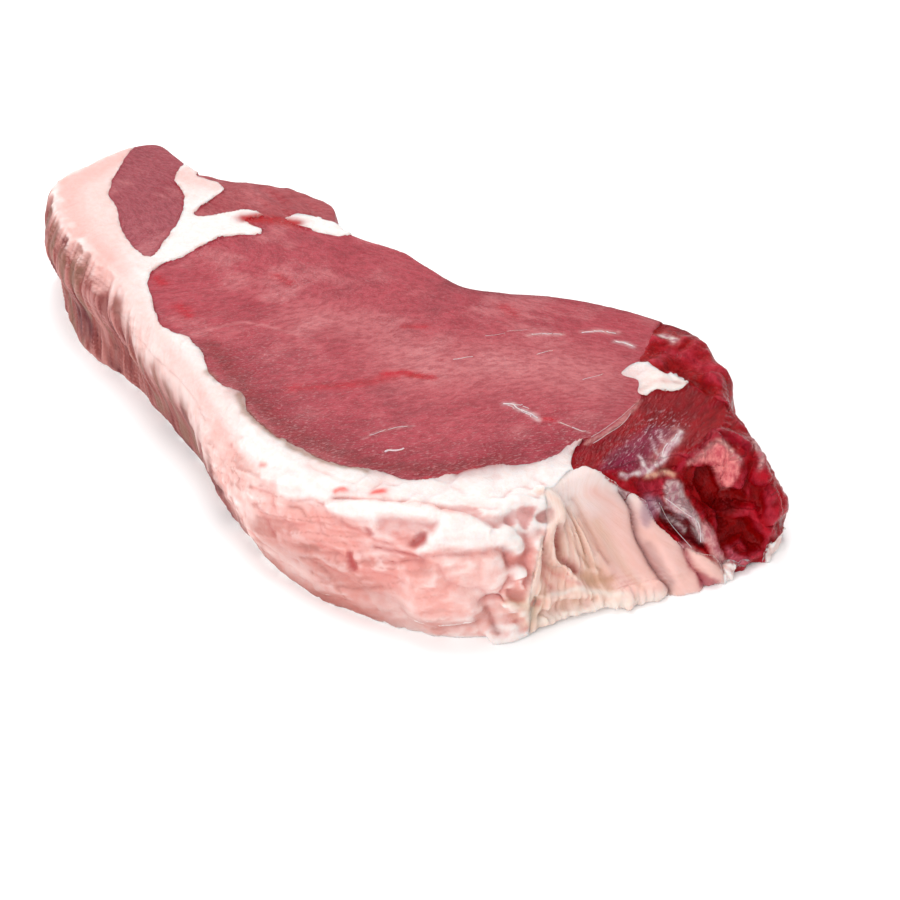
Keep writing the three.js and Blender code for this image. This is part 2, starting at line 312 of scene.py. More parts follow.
def wall_place(points, normals):
    """How far round the girth, and how far up the wall and in over the rim, each point lies."""
    place = np.full((len(points), 2), NOWHERE)
    seen = np.flatnonzero(normals[:, 2] > -0.6)
    for start in range(0, len(seen), 8000):
        some = seen[start:start + 8000]
        gaps = points[some, None, :2] - girth_line[None]
        best = (gaps**2).sum(axis=2).argmin(axis=1)
        gap = points[some, :2] - girth_line[best]
        place[some, 0] = best * girth_step + (gap * girth_run[best]).sum(axis=1)
        place[some, 1] = points[some, 2] - (gap * girth_out[best]).sum(axis=1)
    return place


wall_rows = np.array(slice_rows()[UNDER_ROWS:])


def on_wall(round_, up, lift=0.0):
    """The point of the bare slice at a place on its wall, lifted off it by `lift`."""
    column = wall_rows[:, int(round(round_ / (girth_step * GIRTH_POINTS) * STATIONS)) % STATIONS]
    index = int(round(round_ / girth_step)) % GIRTH_POINTS
    reach = column[:, 2] - (column[:, :2] - girth_line[index]) @ girth_out[index]
    up = max(up, reach[0])
    at = np.array([np.interp(up, reach, axis) for axis in column.T])
    above = np.array([np.interp(up + 1, reach, axis) for axis in column.T])
    front = np.cross([*girth_run[index], 0], above - at)
    return at + front / np.linalg.norm(front) * lift


# %% Places on the torn end
END_MIDDLE = np.array([90, 5, 15])
END_FACING = np.array([0.461, -0.671, 0.581])
END_RIGHT = np.array([0.824, 0.566, 0])
END_UP = np.cross(END_FACING, END_RIGHT)


def end_place(points, normals):
    """Right and up on the torn end, seen straight on."""
    place = np.column_stack([(points - END_MIDDLE) @ END_RIGHT, (points - END_MIDDLE) @ END_UP])
    place[normals @ END_FACING < -0.1] = NOWHERE
    return place


# %% [markdown]
# ## Rolls of clay
# A sculptor lays lumps and straps on as rolls of clay and scoops hollows out with a round tool. Both
# are made here from a sphere primitive: its poles become the round ends of a roll and its middle
# follows a path. A roll may be pressed flat against the wall, as a strap of sinew is.

# %% A roll of clay
WALL_FACING = np.array([0.62, -0.72, 0.3])
ROLL_SIDES = 18
END_SHARE = 0.2


def roll_of_clay(path, first, last, flat=1.0, facing=WALL_FACING, sides=ROLL_SIDES):
    path = np.array(path, float)
    count = 3 * len(path) + 6
    centre = curve_through(path, count, closed=False)
    walked = np.concatenate([[0], np.cumsum(np.linalg.norm(np.diff(centre, axis=0), axis=1))])
    deselect()
    bpy.ops.mesh.primitive_uv_sphere_add(segments=sides, ring_count=count + 10, radius=1)
    roll = bpy.context.object
    ball = points_of(roll) * MM
    polar = np.arccos(np.clip(ball[:, 2], -1, 1)) / math.pi
    around = np.arctan2(ball[:, 1], ball[:, 0])
    head = np.clip(polar / END_SHARE, 0, 1) * math.pi / 2
    tail = np.clip((polar - 1 + END_SHARE) / END_SHARE, 0, 1) * math.pi / 2
    share = np.clip((polar - END_SHARE) / (1 - 2 * END_SHARE), 0, 1)
    thick = first + (last - first) * share
    radius = thick * np.sin(head) * np.cos(tail)
    at = np.column_stack([np.interp(share * walked[-1], walked, c) for c in centre.T])
    way = np.gradient(centre, axis=0)
    way = np.column_stack([np.interp(share * walked[-1], walked, c) for c in way.T])
    way /= np.linalg.norm(way, axis=1)[:, None]
    at += way * (thick * (np.sin(tail) - np.cos(head)))[:, None]
    front = facing - way * (way @ facing)[:, None]
    front /= np.linalg.norm(front, axis=1)[:, None]
    side = np.cross(way, front)
    at += side * (radius * np.cos(around))[:, None]
    at += front * (radius * flat * np.sin(around))[:, None]
    move_points(roll, at)
    return roll


def join(pieces, name):
    deselect()
    for piece in pieces:
        piece.select_set(True)
    bpy.context.view_layer.objects.active = pieces[0]
    bpy.ops.object.join()
    pieces[0].name = name
    only(pieces[0])
    bpy.ops.object.mode_set(mode="EDIT")
    bpy.ops.mesh.select_all(action="SELECT")
    bpy.ops.mesh.normals_make_consistent(inside=False)
    bpy.ops.object.mode_set(mode="OBJECT")
    return pieces[0]


def wall_roll(places, first, last, flat, lift):
    return roll_of_clay([on_wall(*place, lift) for place in places], first, last, flat)


# %% [markdown]
# ## Lay on and scoop out
# The front fat is soft and lumpy, a strap of sinew folds down beside the fan, the hem at the foot is
# torn, and the thick end was pulled apart, so it has deep pockets under a loose flap. What stands out
# is laid on, and what is hollow is scooped out before the whole is melted into one skin.

# %% What is laid on the wall
# a path of places, the thickness at each end, how flat it is and how far it is lifted
LAID_ON_WALL = {
    "knob": ([[214, 28.4], [217, 27.4], [219, 25.8]], 1, 1.6, 0.8, 0.5),
    "corner of the knob": ([[216.5, 28.6], [217.5, 29.2]], 1, 0.8, 0.9, 0.6),
    "strap": ([[228.5, 37.5], [230, 35], [231.5, 32], [231.5, 29], [230, 27], [228, 26], [226.5, 25.5],
               [225, 24], [224, 21.5], [223, 18.5], [222, 15], [221, 12], [220, 10]], 1.1, 1.5, 0.8,
              0.9),
    "second strap": ([[229, 24.5], [227.5, 23], [226.5, 20.5], [227, 18], [229, 14.5], [231, 11.5],
                      [232.5, 8]], 1, 1.2, 0.8, 0.6),
    "rim over the pockets": ([[219, 38], [222.5, 36], [225, 34.5], [227, 33], [229, 33.5]], 1, 1.1, 0.8,
                             0.5),
    "torn corner": ([[215.5, 11], [218, 8.5], [220.5, 5.5], [222, 3]], 1.1, 1.7, 0.8, 0.9),
    "torn corner edge": ([[218, 14.5], [219.5, 11.5], [221.5, 9], [224, 8.5]], 0.9, 1.1, 0.7, 0.7),
    "torn corner foot": ([[216, 3.5], [219, 3], [221.5, 1.5]], 1.6, 1.5, 0.9, 1.2),
    "white scrap": ([[213.5, 3], [216, 2]], 1.5, 1.7, 0.9, 1.2),
    "scrap by the strap": ([[220.5, 7], [222.5, 6.5], [224.5, 6.5]], 0.9, 1, 0.7, 1),
    "upper frill": ([[225, 8], [229, 7], [233, 6.5], [236, 5], [239.5, 3], [243, 1.8]], 0.9, 1, 0.7,
                    0.7),
    "hem lobe one": ([[223.5, 3], [225.5, 1.4], [228, 2]], 1.4, 1.2, 0.8, 1.2),
    "hem lobe two": ([[229, 1.2], [231, 2.4], [233, 1]], 1.1, 0.9, 0.8, 1.3),
    "hem lobe three": ([[234, 2], [235.5, 0.9], [237.5, 2]], 1.1, 0.9, 0.7, 1.3),
    "hem lobe four": ([[238.5, 1], [240.5, 2.2], [242.5, 0.8]], 0.9, 1, 0.7, 1.2),
    "hem lobe five": ([[243.5, 2], [245, 0.8], [247, 1.8]], 0.9, 0.8, 0.7, 1.1),
    "white end of the hem": ([[248, 1], [250, 1.8], [251.5, 1]], 0.9, 0.8, 0.8, 1),
}

# %% [markdown]
# At the torn end a flap of lean hangs over the pockets, and knobs of lean stand beside them. These
# are placed by plain x, y and z points, because the end slopes and has no girth to walk along.

# %% What is laid on the torn end and what is scooped out of it
# a path of x, y and z points, and the thickness at each end
LAID_ON_END = {
    "flap": ([[88.6, 11.4, 23.4], [90.4, 14, 24.2], [93, 16.8, 23.6], [95.8, 17.4, 22], [97, 16, 19.6],
              [96.6, 14.4, 17.2]], 1.5, 1.9),
    "torn knob above": ([[98.6, 21, 20.5], [100.5, 19.6, 18]], 2.2, 1.8),
    "torn knob below": ([[103, 19.4, 14.4], [104.6, 18, 11]], 2, 1.8),
    "torn ridge": ([[94.6, 6, 12.8], [97.4, 5.4, 8.4], [99, 5.2, 5.4]], 1.3, 1.5),
    "foot of the thick end": ([[99.6, 5.6, 2], [102.8, 11, 2.3], [104.6, 17, 2.2]], 1.5, 1.4),
}

SCOOPED = {
    "hollow under the bands": ([[87.6, 0.6, 17.4], [90.6, 0.8, 14], [94, 1.4, 11], [96.6, 2, 8.2]], 2,
                               1.8),
    "upper pocket": ([[92, 10.8, 20.2], [95.4, 9.8, 16.4]], 2, 2.4),
    "middle pocket": ([[99.4, 12, 14], [101, 15.6, 14.6]], 2.2, 1.9),
    "lower pocket": ([[104.2, 13.6, 8.6], [102.6, 9.6, 7.4]], 2.3, 2),
}

# %% [markdown]
# A voxel remesh melts all the rolls into the slice, as a thumb blends clay, and leaves one closed skin
# of even small faces. The pockets are cut by a boolean, and a last remesh evens their edges out.

# %% Melt everything into one skin
CLAY_VOXEL = 0.6
SKIN_VOXEL = 0.5

laid_on = [wall_roll(*roll) for roll in LAID_ON_WALL.values()]
laid_on += [roll_of_clay(*roll) for roll in LAID_ON_END.values()]
scooped = join([roll_of_clay(*roll) for roll in SCOOPED.values()], "scooped")
finish_with(scooped, "REMESH", mode="VOXEL", voxel_size=CLAY_VOXEL * MM)
clay = join([clay, *laid_on], "steak_clay")
finish_with(clay, "REMESH", mode="VOXEL", voxel_size=CLAY_VOXEL * MM)
finish_with(clay, "BOOLEAN", operation="DIFFERENCE", object=scooped, solver="MANIFOLD")
bpy.data.objects.remove(scooped)
finish_with(clay, "REMESH", mode="VOXEL", voxel_size=SKIN_VOXEL * MM)
finish_with(clay, "SMOOTH", factor=0.5, iterations=8)
say("one skin:", len(clay.data.polygons), "faces")

# %% [markdown]
# ## Where the muscles meet
# Seen from above, the slice divides along natural seams: the eye, the oval in the tail, the forked rib
# strip, the torn end muscle, the wet lean behind a small island of seam fat, and the fan of sinew.
# The layers run right through the slice, so one outline in plan is enough for each. A real seam isn't
# a smooth line, so each outline is roughened a little.

# %% Where the muscles meet
# x and y places
SEAMS = {
    "chine_fat": [
        [100.5, 4.7], [104.2, 10], [105.6, 15.5], [105, 22.5], [113, 28.5], [121, 12.5], [111, 0.5],
    ],
    "sinew_fan": [
        [71.3, -15.5], [71.6, -21], [74.5, -25.5], [76, -30.5], [80, -41.5], [101, -39.5], [119, -7.5],
        [111, 6.5], [104.5, 7], [99.3, 3.5], [94.6, 0.9], [91, -0.7], [87.2, -2.1], [82.2, -2.9],
        [79.9, -4.9], [76.7, -7.1], [73.6, -8.1], [72, -10.5],
    ],
    "seam_fat": [
        [62.2, 25.3], [66.3, 24.9], [68.8, 21.1], [70.6, 21.1], [71.2, 24.1], [75.3, 28.5],
        [74.8, 33.7], [72, 33.2], [69.9, 31.4], [67, 31.9], [63.1, 31.8],
    ],
    "back_nodule": [
        [63.4, 31.5], [67, 31.3], [72, 32.5], [74.6, 33.1], [76.3, 31.3], [79.9, 31.2], [84.4, 31.4],
        [93, 33.5], [101, 45.5], [86, 62.5], [59, 64.5], [59.1, 45.5], [61.8, 36.8],
    ],
    "end_muscle": [
        [68.2, -0.4], [69.8, -8.4], [73, -11.5], [85, -13.5], [105, -13.5], [127, -3.5], [129, 34.5],
        [101, 46.5], [83, 38.5], [75, 31.5], [71, 27.5], [68.5, 22.5], [69.9, 20.4], [70.6, 17.1],
        [71.7, 9.7], [70.9, 3.1],
    ],
    "tail_muscle": [
        [-89.3, 22.5], [-85.5, 20.5], [-79.5, 15.5], [-73, 10.1], [-64.5, 5.1], [-58.9, 4.1],
        [-60.5, 10.5], [-64.6, 21], [-72.9, 33], [-80.5, 38.5], [-83.5, 44.5], [-85, 54.5], [-93, 62.5],
        [-103, 57.5], [-100.5, 43.5], [-95.7, 33.4],
    ],
    "rib_strip": [
        [-64.2, 27.1], [-61.1, 27.5], [-55.7, 35.4], [-52, 36.8], [-49, 36], [-44.5, 38.2], [-42.6, 41],
        [-40, 42.6], [-36.5, 43.1], [-29, 43.5], [-26, 50.5], [-39, 60.5], [-56, 60.5], [-71, 56.5],
        [-79, 50.5], [-77, 42.9], [-70, 43.1], [-66.2, 40.8], [-65.5, 34.8],
    ],
    "eye_muscle": [
        [-53.1, -2.3], [-48.7, -7.7], [-41.3, -13.8], [-36.9, -17.3], [-32.2, -18.7], [-27.6, -18.2],
        [-24.5, -20.1], [-20.7, -21.5], [-15.2, -26.3], [-8.9, -28.6], [-2.6, -29.1], [1.9, -33.5],
        [8.2, -35.8], [15.8, -37.3], [28.5, -38.2], [39.2, -35.1], [46, -33.8], [50.8, -29.7],
        [54.4, -23.9], [58.8, -19.2], [63.2, -14.4], [65.6, -11], [68, -0.7], [75, 6.5], [81, 20.5],
        [85, 40.5], [76, 62.5], [51, 62.5], [21, 52.5], [1, 50.5], [-14, 54.5], [-25, 52.5],
        [-25.5, 39.5], [-32.1, 37.5], [-37, 37.2], [-40.5, 37.4], [-44.5, 38.5], [-49.5, 35.3],
        [-51.6, 31.3], [-45.3, 30.5], [-43.6, 28.4], [-47.6, 24.9], [-50.6, 21.6], [-52.2, 15.1],
        [-52.8, 8.2], [-53.9, 4],
    ],
}
PIECES = [*SEAMS, "fat_cap"]
CHINE_FAT_HEIGHT = 4.6
SEAM_STEP = 0.7


def seam_line(name):
    corners = np.array(SEAMS[name], float)
    length = np.linalg.norm(np.diff(corners, axis=0, append=corners[:1]), axis=1).sum()
    line = curve_through(corners, int(length / SEAM_STEP), tight=True)
    run = np.roll(line, -1, axis=0) - np.roll(line, 1, axis=0)
    out = np.column_stack([run[:, 1], -run[:, 0]]) / np.linalg.norm(run, axis=1)[:, None]
    flat = np.column_stack([line, np.full(len(line), 5.0)])
    wander = 0.32 * noise(flat, 4.2, 21) + 0.2 * noise(flat, 1.7, 22)
    return line + out * wander[:, None]


LINES = {name: seam_line(name) for name in SEAMS}


# %% Which piece a point belongs to
def inside(line, points):
    """Whether each point lies in a closed outline: it does if a ray from it crosses an odd number
    of the outline's sides."""
    x, y = points[:, 0], points[:, 1]
    crossings = np.zeros(len(points), int)
    for (x0, y0), (x1, y1) in zip(line, np.roll(line, -1, axis=0)):
        spans = (y0 > y) != (y1 > y)
        if y0 != y1:
            crossings += spans & (x < x0 + (y - y0) / (y1 - y0) * (x1 - x0))
    return crossings % 2 == 1


def region_of(points):
    """Which piece each point belongs to, as its place in PIECES."""
    region = np.full(len(points), len(SEAMS))
    free = np.ones(len(points), bool)
    for index, name in enumerate(SEAMS):
        here = free & inside(LINES[name], points)
        if name == "chine_fat":
            here &= points[:, 2] < CHINE_FAT_HEIGHT
        region[here] = index
        free &= ~here
    return region


def distance_to(points, line, limit=12.0):
    """Distance to the nearest point of a line, up to a limit. It is worked out a lot of points at a
    time, so that the table of gaps stays small."""
    wide = line.shape[1]
    near = np.full(len(points), float(limit))
    low, high = line.min(axis=0) - limit, line.max(axis=0) + limit
    close = np.flatnonzero(((points[:, :wide] > low) & (points[:, :wide] < high)).all(axis=1))
    for start in range(0, len(close), 20000):
        some = close[start:start + 20000]
        gaps = points[some, None, :wide] - line[None]
        near[some] = np.minimum(limit, np.sqrt((gaps**2).sum(axis=2)).min(axis=1))
    return near


skin = points_of(clay)
region = region_of(skin)
region_is = {name: (region == i).astype(float) for i, name in enumerate(PIECES)}
say({name: int(share.sum()) for name, share in region_is.items()})

# %% [markdown]
# ## Sculpt the surface
# Each kind of tissue has its own surface. Fat is billowy, the flank was dragged while it was cut and
# shows long striations, the sinew fan lies in pleats that spread from one point, and the torn end is
# ragged. Heights are worked out at each point of the skin and pushed along its normal. Strokes do
# what a sculptor's tool does along a short path: a soft swell, or a sharp crease.

# %% Patches, ridges and creases
def share_of(place, kind, soft, corners):
    """How much each place belongs to a form: a closed patch, or a ridge or crease along a line."""
    closed = kind == "patch"
    corners = np.array(corners, float)
    length = np.linalg.norm(np.diff(corners, axis=0), axis=1).sum()
    line = curve_through(corners, int(length / 0.4) + 3, closed=closed, tight=True)
    share = np.zeros(len(place))
    reach = 4 * soft
    near = (place > line.min(axis=0) - reach) & (place < line.max(axis=0) + reach)
    close = np.flatnonzero(near.all(axis=1))
    distance = distance_to(place[close], line, limit=12.0 if closed else reach)
    if closed:
        distance = np.where(inside(line, place[close]), distance, -distance)
        share[close] = smoothstep(distance, -soft, soft)
    elif kind == "ridge":
        share[close] = np.exp(-((distance / soft) ** 2)) * (distance < reach)
    else:
        share[close] = np.exp(-distance / soft) * (distance < reach)
    return share


# %% [markdown]
# The fat wall was built up from the shelf at its top, through the lump with its knob, down to the
# bulge at its foot, with torn pockets towards the fan. A form here says both what the place is like to
# touch and what colour it has, because on meat the two go together: a pocket is hollow and rosy,
# partly with blood and partly with painted shade. Shade is also painted under the shelf and the bulge
# and into creases and slits, and the lumps are painted white, partly their own white fat and partly
# painted highlight.

# %% Forms of the fat wall and the fan
# kind, rise, softness, colour, strength of the colour, places on the wall
WALL_FORMS = {
    "blush": ("ridge", 0, 10, "rose", 0.42, [[166, 14], [178, 15], [190, 14]]),
    "pink side": ("ridge", 0, 5, "rosy fat", 0.4, [[60, 32], [90, 30], [120, 27], [140, 24]]),
    # painted shade: the low wall painted dusky
    "low dusky shade": ("ridge", 0, 6, "dusky", 0.4, [[158, 10], [172, 10.5], [188, 8]]),
    "blush by the shelf": ("ridge", 0, 4, "rose", 0.42, [[176, 24], [188, 23], [196, 21]]),
    "strap": ("ridge", 0.3, 1.3, "peach", 0.9,
              [[228.5, 37.5], [230, 35], [231.5, 31.5], [231, 28.5], [228.5, 26], [226, 25],
               [224, 21.5], [222.5, 16], [220, 10]]),
    "second strap": ("ridge", 0.2, 1, "peach", 0.8,
                     [[229, 24.5], [227, 22], [226.5, 18.5], [229, 14.5], [232.5, 8]]),
    "torn corner": ("ridge", 0, 2.4, "beige", 0.8, [[216.5, 10], [218.5, 8], [221, 4], [222, 2]]),
    "white scrap": ("ridge", 0, 1.6, "white fat", 0.9, [[214, 3.5], [217, 2.5]]),
    "foot of the corner": ("ridge", 0, 1.2, "tan", 0.7, [[219, 2.5], [222, 1]]),
    "hem": ("ridge", 0, 2.6, "cream", 0.85, [[224, 1.5], [233, 0], [243, -1], [252, -1]]),
    "upper frill": ("ridge", 0, 1, "cream", 0.8,
                    [[225, 8], [233, 6.5], [236, 5], [239.5, 3], [243, 1.8]]),
    "red fleck": ("ridge", 0.3, 1, "fleck", 0.9, [[174.4, 32.4], [176.2, 33.8]]),
    "second red fleck": ("ridge", 0.4, 1.3, "fleck", 1, [[182, 36.4], [183.6, 37.8]]),
    "faint fleck": ("ridge", 0, 1, "rose", 0.7, [[152.5, 28], [153.5, 28.6]]),
    "second faint fleck": ("ridge", 0, 1.3, "rose", 0.6, [[158.5, 26], [159.5, 26.6]]),
    # the white on the shelf, lumps, knob and folds below is partly their own white fat and partly painted
    # highlight
    "shelf": ("patch", 1.2, 1.3, "white fat", 0.65,
              [[173.5, 27.5], [175, 29.5], [177.5, 31], [181, 33], [186.5, 34.5], [192, 36],
               [196.5, 37], [200.5, 36], [202, 34.5], [197.5, 32.5], [190, 32], [186.5, 30.5],
               [182.5, 28], [176, 26.5]]),
    # painted shade: the hollows under the shelf and above the lump are painted rose
    "hollow under the shelf": ("patch", -0.9, 1.6, "rose", 0.55,
                               [[190, 31.5], [198.5, 32.5], [200, 32], [199, 29], [197.5, 29.5],
                                [195.5, 28], [194.5, 25], [192, 25], [189.5, 26], [186.5, 26.5],
                                [187, 30]]),
    "hollow above the lump": ("patch", -0.7, 0.9, "rose", 0.45,
                              [[198.5, 37.5], [202, 38], [209, 38], [211, 36], [208, 35], [204, 35],
                               [202, 35]]),
    "upper lump": ("patch", 1.7, 1.8, "white fat", 0.7,
                   [[201, 33], [202, 34.5], [204, 35], [206, 35], [208.5, 34], [211, 32.5], [213, 31],
                    [213, 26.5], [210, 25], [202.5, 25.5], [199.5, 24], [197, 22], [196.5, 23.5],
                    [198.5, 27.5], [200.5, 31.5]]),
    "bridge to the knob": ("ridge", 0.8, 1.5, "white fat", 1,
                           [[209.5, 30.5], [213, 29.5], [216.5, 28]]),
    "knob": ("patch", 0.5, 1.5, "white fat", 1,
             [[213, 29], [215.5, 30.5], [218, 31], [219.5, 28.5], [221, 25], [220.5, 23], [218.5, 22.5],
              [215.5, 25], [212.5, 27]]),
    "middle lump": ("patch", 0.9, 1.9, "pink fat", 0.4,
                    [[199, 23.5], [204, 25], [210, 24.5], [215, 24], [216, 21.5], [216, 18.5],
                     [214.5, 16], [212, 14], [208, 14], [205, 15.5], [203, 17], [201, 19],
                     [198.5, 21]]),
    "lower bulge": ("patch", 1.8, 2.6, "rosy fat", 0.4,
                    [[193.5, 10], [194.5, 12.5], [196, 16], [199, 18.5], [201.5, 19.5], [203, 17],
                     [205.5, 15], [208, 13.5], [210, 11.5], [210, 8.5], [208, 6.5], [204, 6],
                     [198.5, 5], [195.5, 6]]),
    "nub": ("patch", 1.7, 0.7, "white fat", 0.7,
            [[216, 19], [217.5, 19.5], [219.5, 18.5], [220, 16.5], [219, 15.5], [217, 16]]),
    "left fold": ("patch", 0.9, 1.8, "white fat", 0.6,
                  [[161, 29], [165, 30.5], [169, 31], [172.5, 30], [171.5, 28], [168.5, 26],
                   [164.5, 24.5], [161, 25]]),
    "rim fold": ("patch", 0.8, 1.6, "white fat", 0.6,
                 [[153.5, 27], [157.5, 29], [161.5, 31], [165, 30.5], [163, 28], [159, 26],
                  [155, 25.5]]),
    "mauve membrane": ("patch", -0.6, 0.8, "mauve", 0.9,
                       [[222, 34.5], [223, 35], [226, 33], [225.5, 32], [224, 30], [222.5, 28],
                        [221.5, 29.5]]),
    # holes and pockets: rosy and dark, partly blood and partly painted shade
    "hole by the lump": ("patch", -1.5, 1.2, "dark rose", 0.75,
                         [[194.5, 24.5], [195, 26.5], [196, 28.5], [197.5, 29], [198, 26.5],
                          [195.5, 24]]),
    "second hole": ("patch", -0.7, 0.9, "dark rose", 0.9,
                    [[180.5, 17], [181.5, 18], [182.5, 16], [183.5, 14.5], [182.5, 13], [181.5, 13.5]]),
    "third hole": ("patch", -0.6, 0.8, "dark rose", 0.6,
                   [[183.5, 25.5], [184.5, 26], [186, 25], [185.5, 24], [184.5, 24.5]]),
    "fourth hole": ("patch", -0.5, 0.8, "dusky", 0.7,
                    [[168.5, 13.5], [171, 15], [173.5, 15.5], [174, 14.5], [172, 14]]),
    "pocket beside the lump": ("patch", -0.9, 1.1, "rose", 0.35,
                               [[208, 35], [210.5, 33], [213, 31], [215.5, 31], [218.5, 31.5],
                                [220, 30], [220.5, 32], [219.5, 34], [216.5, 34.5], [212, 35.5]]),
    "pocket by the membrane": ("patch", -0.8, 0.9, "rose", 0.4,
                               [[219, 33], [220.5, 34.5], [221.5, 34.5], [221, 30.5], [219.5, 31]]),
    "pocket under the strap": ("patch", -0.9, 0.9, "rose", 0.4,
                               [[225.5, 31], [227.5, 31.5], [229.5, 31], [229.5, 29.5], [228.5, 28.5],
                                [226, 29]]),
    "hollow below the knob": ("patch", -0.7, 1.1, "rose", 0.35,
                              [[216, 24], [218, 22], [220, 22], [221, 22.5], [220, 18.5], [216, 20]]),
    "low pocket": ("patch", -0.9, 0.8, "rose", 0.5,
                   [[215.5, 13.5], [217, 12.5], [219, 10], [218.5, 9], [216, 11]]),
    "low dark spot": ("patch", -1, 0.6, "rose", 0.6,
                      [[221, 7.5], [222.5, 6], [223.5, 7.5], [221.5, 8.5]]),
    # creases, slits and valleys below are painted darker, partly as shade; under the lower bulge it is
    # painted shadow
    "above the shelf": ("crease", -1.1, 0.6, "rosy fat", 0.7,
                        [[174.5, 30.5], [178.5, 32.5], [185, 34.5], [191.5, 36.5], [197, 37.5],
                         [200, 36.5], [203, 35.5]]),
    "left of the lump": ("crease", -0.8, 0.7, "dark rose", 0.6,
                         [[187, 21.5], [192.5, 22], [195, 22], [197, 22]]),
    "below the hole": ("crease", -0.9, 0.5, "rose", 0.5,
                       [[190, 18.5], [192, 19], [196, 20.5], [198, 20.5]]),
    "between the bulges": ("crease", -0.7, 1, "rose", 0.4,
                           [[197.5, 21.5], [201, 20.5], [203, 17.5], [205, 16], [207.5, 15.5],
                            [210, 15], [211, 13]]),
    "under the upper lump": ("crease", -0.8, 0.8, "rose", 0.4,
                             [[198.5, 22.5], [202, 23.5], [206.5, 24], [211, 24.5]]),
    "right of the middle": ("crease", -1.3, 0.9, "rose", 0.5,
                            [[215.5, 25], [216, 21], [216.5, 18], [215.5, 15.5], [214.5, 13.5],
                             [213.5, 11.5]]),
    "low right": ("crease", -1.4, 0.7, "rose", 0.6, [[210, 11.5], [212.5, 12], [214.5, 11]]),
    "low right foot": ("crease", -0.9, 0.9, "dusky", 0.6, [[211, 10], [212.5, 6], [213.5, 2]]),
    "beside the strap": ("crease", -1.1, 0.9, "rose", 0.4,
                         [[222, 26.5], [221.5, 22.5], [220.5, 18.5], [220, 14.5], [219.5, 11]]),
    "under the lower bulge": ("crease", -0.6, 1.4, "dusky", 0.45,
                              [[193.5, 7.5], [195.5, 5], [198.5, 4], [204, 4.5], [208.5, 5.5],
                               [211, 8.5]]),
    "streak by the third hole": ("crease", -0.6, 0.6, "rose", 0.6,
                                 [[178, 25], [180.5, 24.5], [183, 24.5], [186.5, 23.5], [190.5, 23.5]]),
    "slit of the fan": ("crease", -2, 0.8, "dark rose", 0.9,
                        [[230, 25.5], [229, 22.5], [229, 20], [229, 18], [230, 15.5], [231.5, 14],
                         [232.5, 12]]),
    "first valley": ("crease", -0.8, 0.5, "tan shadow", 0.6,
                     [[232.5, 28], [232.5, 24.5], [233, 20.5], [233.5, 17.5], [235, 14.5],
                      [236.5, 12]]),
    "second valley": ("crease", -0.8, 0.5, "tan shadow", 0.6,
                      [[233.5, 30.5], [234.5, 26.5], [235, 23], [235.5, 18.5], [236, 15.5], [237.5, 12],
                       [239, 10]]),
    "third valley": ("crease", -0.9, 0.7, "tan shadow", 0.7,
                     [[235.5, 32.5], [236.5, 28.5], [237.5, 24.5], [238.5, 20.5], [239.5, 16],
                      [241, 12]]),
    "fourth valley": ("crease", -0.6, 0.5, "tan shadow", 0.5,
                      [[236, 27.5], [237, 23], [237.5, 19.5], [238.5, 16]]),
    "deep foot of the fan": ("ridge", -1, 1.7, "ochre", 0.5,
                             [[234.5, 10], [236, 8.5], [238.5, 8], [241, 7.5]]),
    "broad valley": ("ridge", -0.6, 2, "tan", 0.7,
                     [[239.5, 24], [241, 20], [242, 16.5], [244, 12], [246, 8], [248, 3.5]]),
    "slit of the bands": ("crease", -2.3, 0.75, "slate", 0.85,
                          [[246.5, 32], [247.5, 28.5], [248, 25], [248, 21.5], [248.5, 17],
                           [249.5, 13.5], [250.5, 9.5], [251.5, 6.5], [252.5, 3], [253.5, 1]]),
    "beside the slit": ("ridge", -0.6, 1.2, "slate", 0.3,
                        [[250.5, 15.5], [251.5, 11], [252.5, 7.5], [254, 3]]),
    "loop of the strap": ("crease", -1.5, 0.8, "rose", 0.7,
                          [[226, 25.5], [225, 21], [225, 17.5], [226.5, 14.5], [228, 13]]),
    "left foot of the fan": ("crease", -0.9, 0.9, "rose", 0.7, [[224.5, 18.5], [224.5, 14], [226, 10]]),
    "right foot of the fan": ("crease", -1, 0.6, "rose", 0.6, [[229, 12], [230.5, 10], [232.5, 8]]),
    "smooth band": ("ridge", 0.5, 3, "pink band", 0.9,
                    [[240, 33], [244, 28], [245.5, 20], [247, 12], [249.5, 4]]),
}

# short streaks left by the knife: softness, colour, strength of the colour, places on the wall
# the streaks are painted darker in their grooves, partly as shade
STREAKS = [
    (0.6, "dark rose", 0.5, [[156, 17.5], [159, 16], [161, 13]]),
    (0.6, "rose", 0.5, [[163.5, 18], [166.5, 18.5], [169, 19.5]]),
    (0.6, "dusky", 0.5, [[165, 12.5], [167.5, 13], [174, 14.5], [178.5, 16]]),
    (0.6, "rose", 0.5, [[174, 16.5], [177.5, 16.5], [180.5, 15.5]]),
    (0.5, "dusky", 0.5, [[183, 15.5], [185, 16.5], [187, 17.5]]),
    (0.6, "dusky", 0.5, [[164.5, 22.5], [167, 23.5], [169, 22]]),
    (0.6, "rose", 0.5, [[153.5, 21], [157, 22.5], [159.5, 23], [160.5, 20.5]]),
    (0.6, "rose", 0.5, [[165, 24.5], [167.5, 26], [170, 27.5], [172.5, 27.5]]),
    (0.6, "rose", 0.6, [[172, 23.5], [173, 21.5], [173.5, 20]]),
    (0.6, "rose", 0.5, [[183.5, 13.5], [187, 14.5], [191, 15], [194, 14.5]]),
    (0.7, "dusky", 0.6, [[168.5, 10.5], [171.5, 11], [175, 10]]),
    (0.7, "dusky", 0.5, [[171, 7.5], [173.5, 7.5], [177.5, 8.5]]),
    (0.7, "dusky", 0.5, [[178.5, 7.5], [184, 9], [189, 11.5]]),
]
for number, (soft, shade, strength, corners) in enumerate(STREAKS):
    WALL_FORMS[f"streak {number}"] = ("crease", -0.5, soft, shade, strength, corners)
print("forms of the wall:", len(WALL_FORMS))

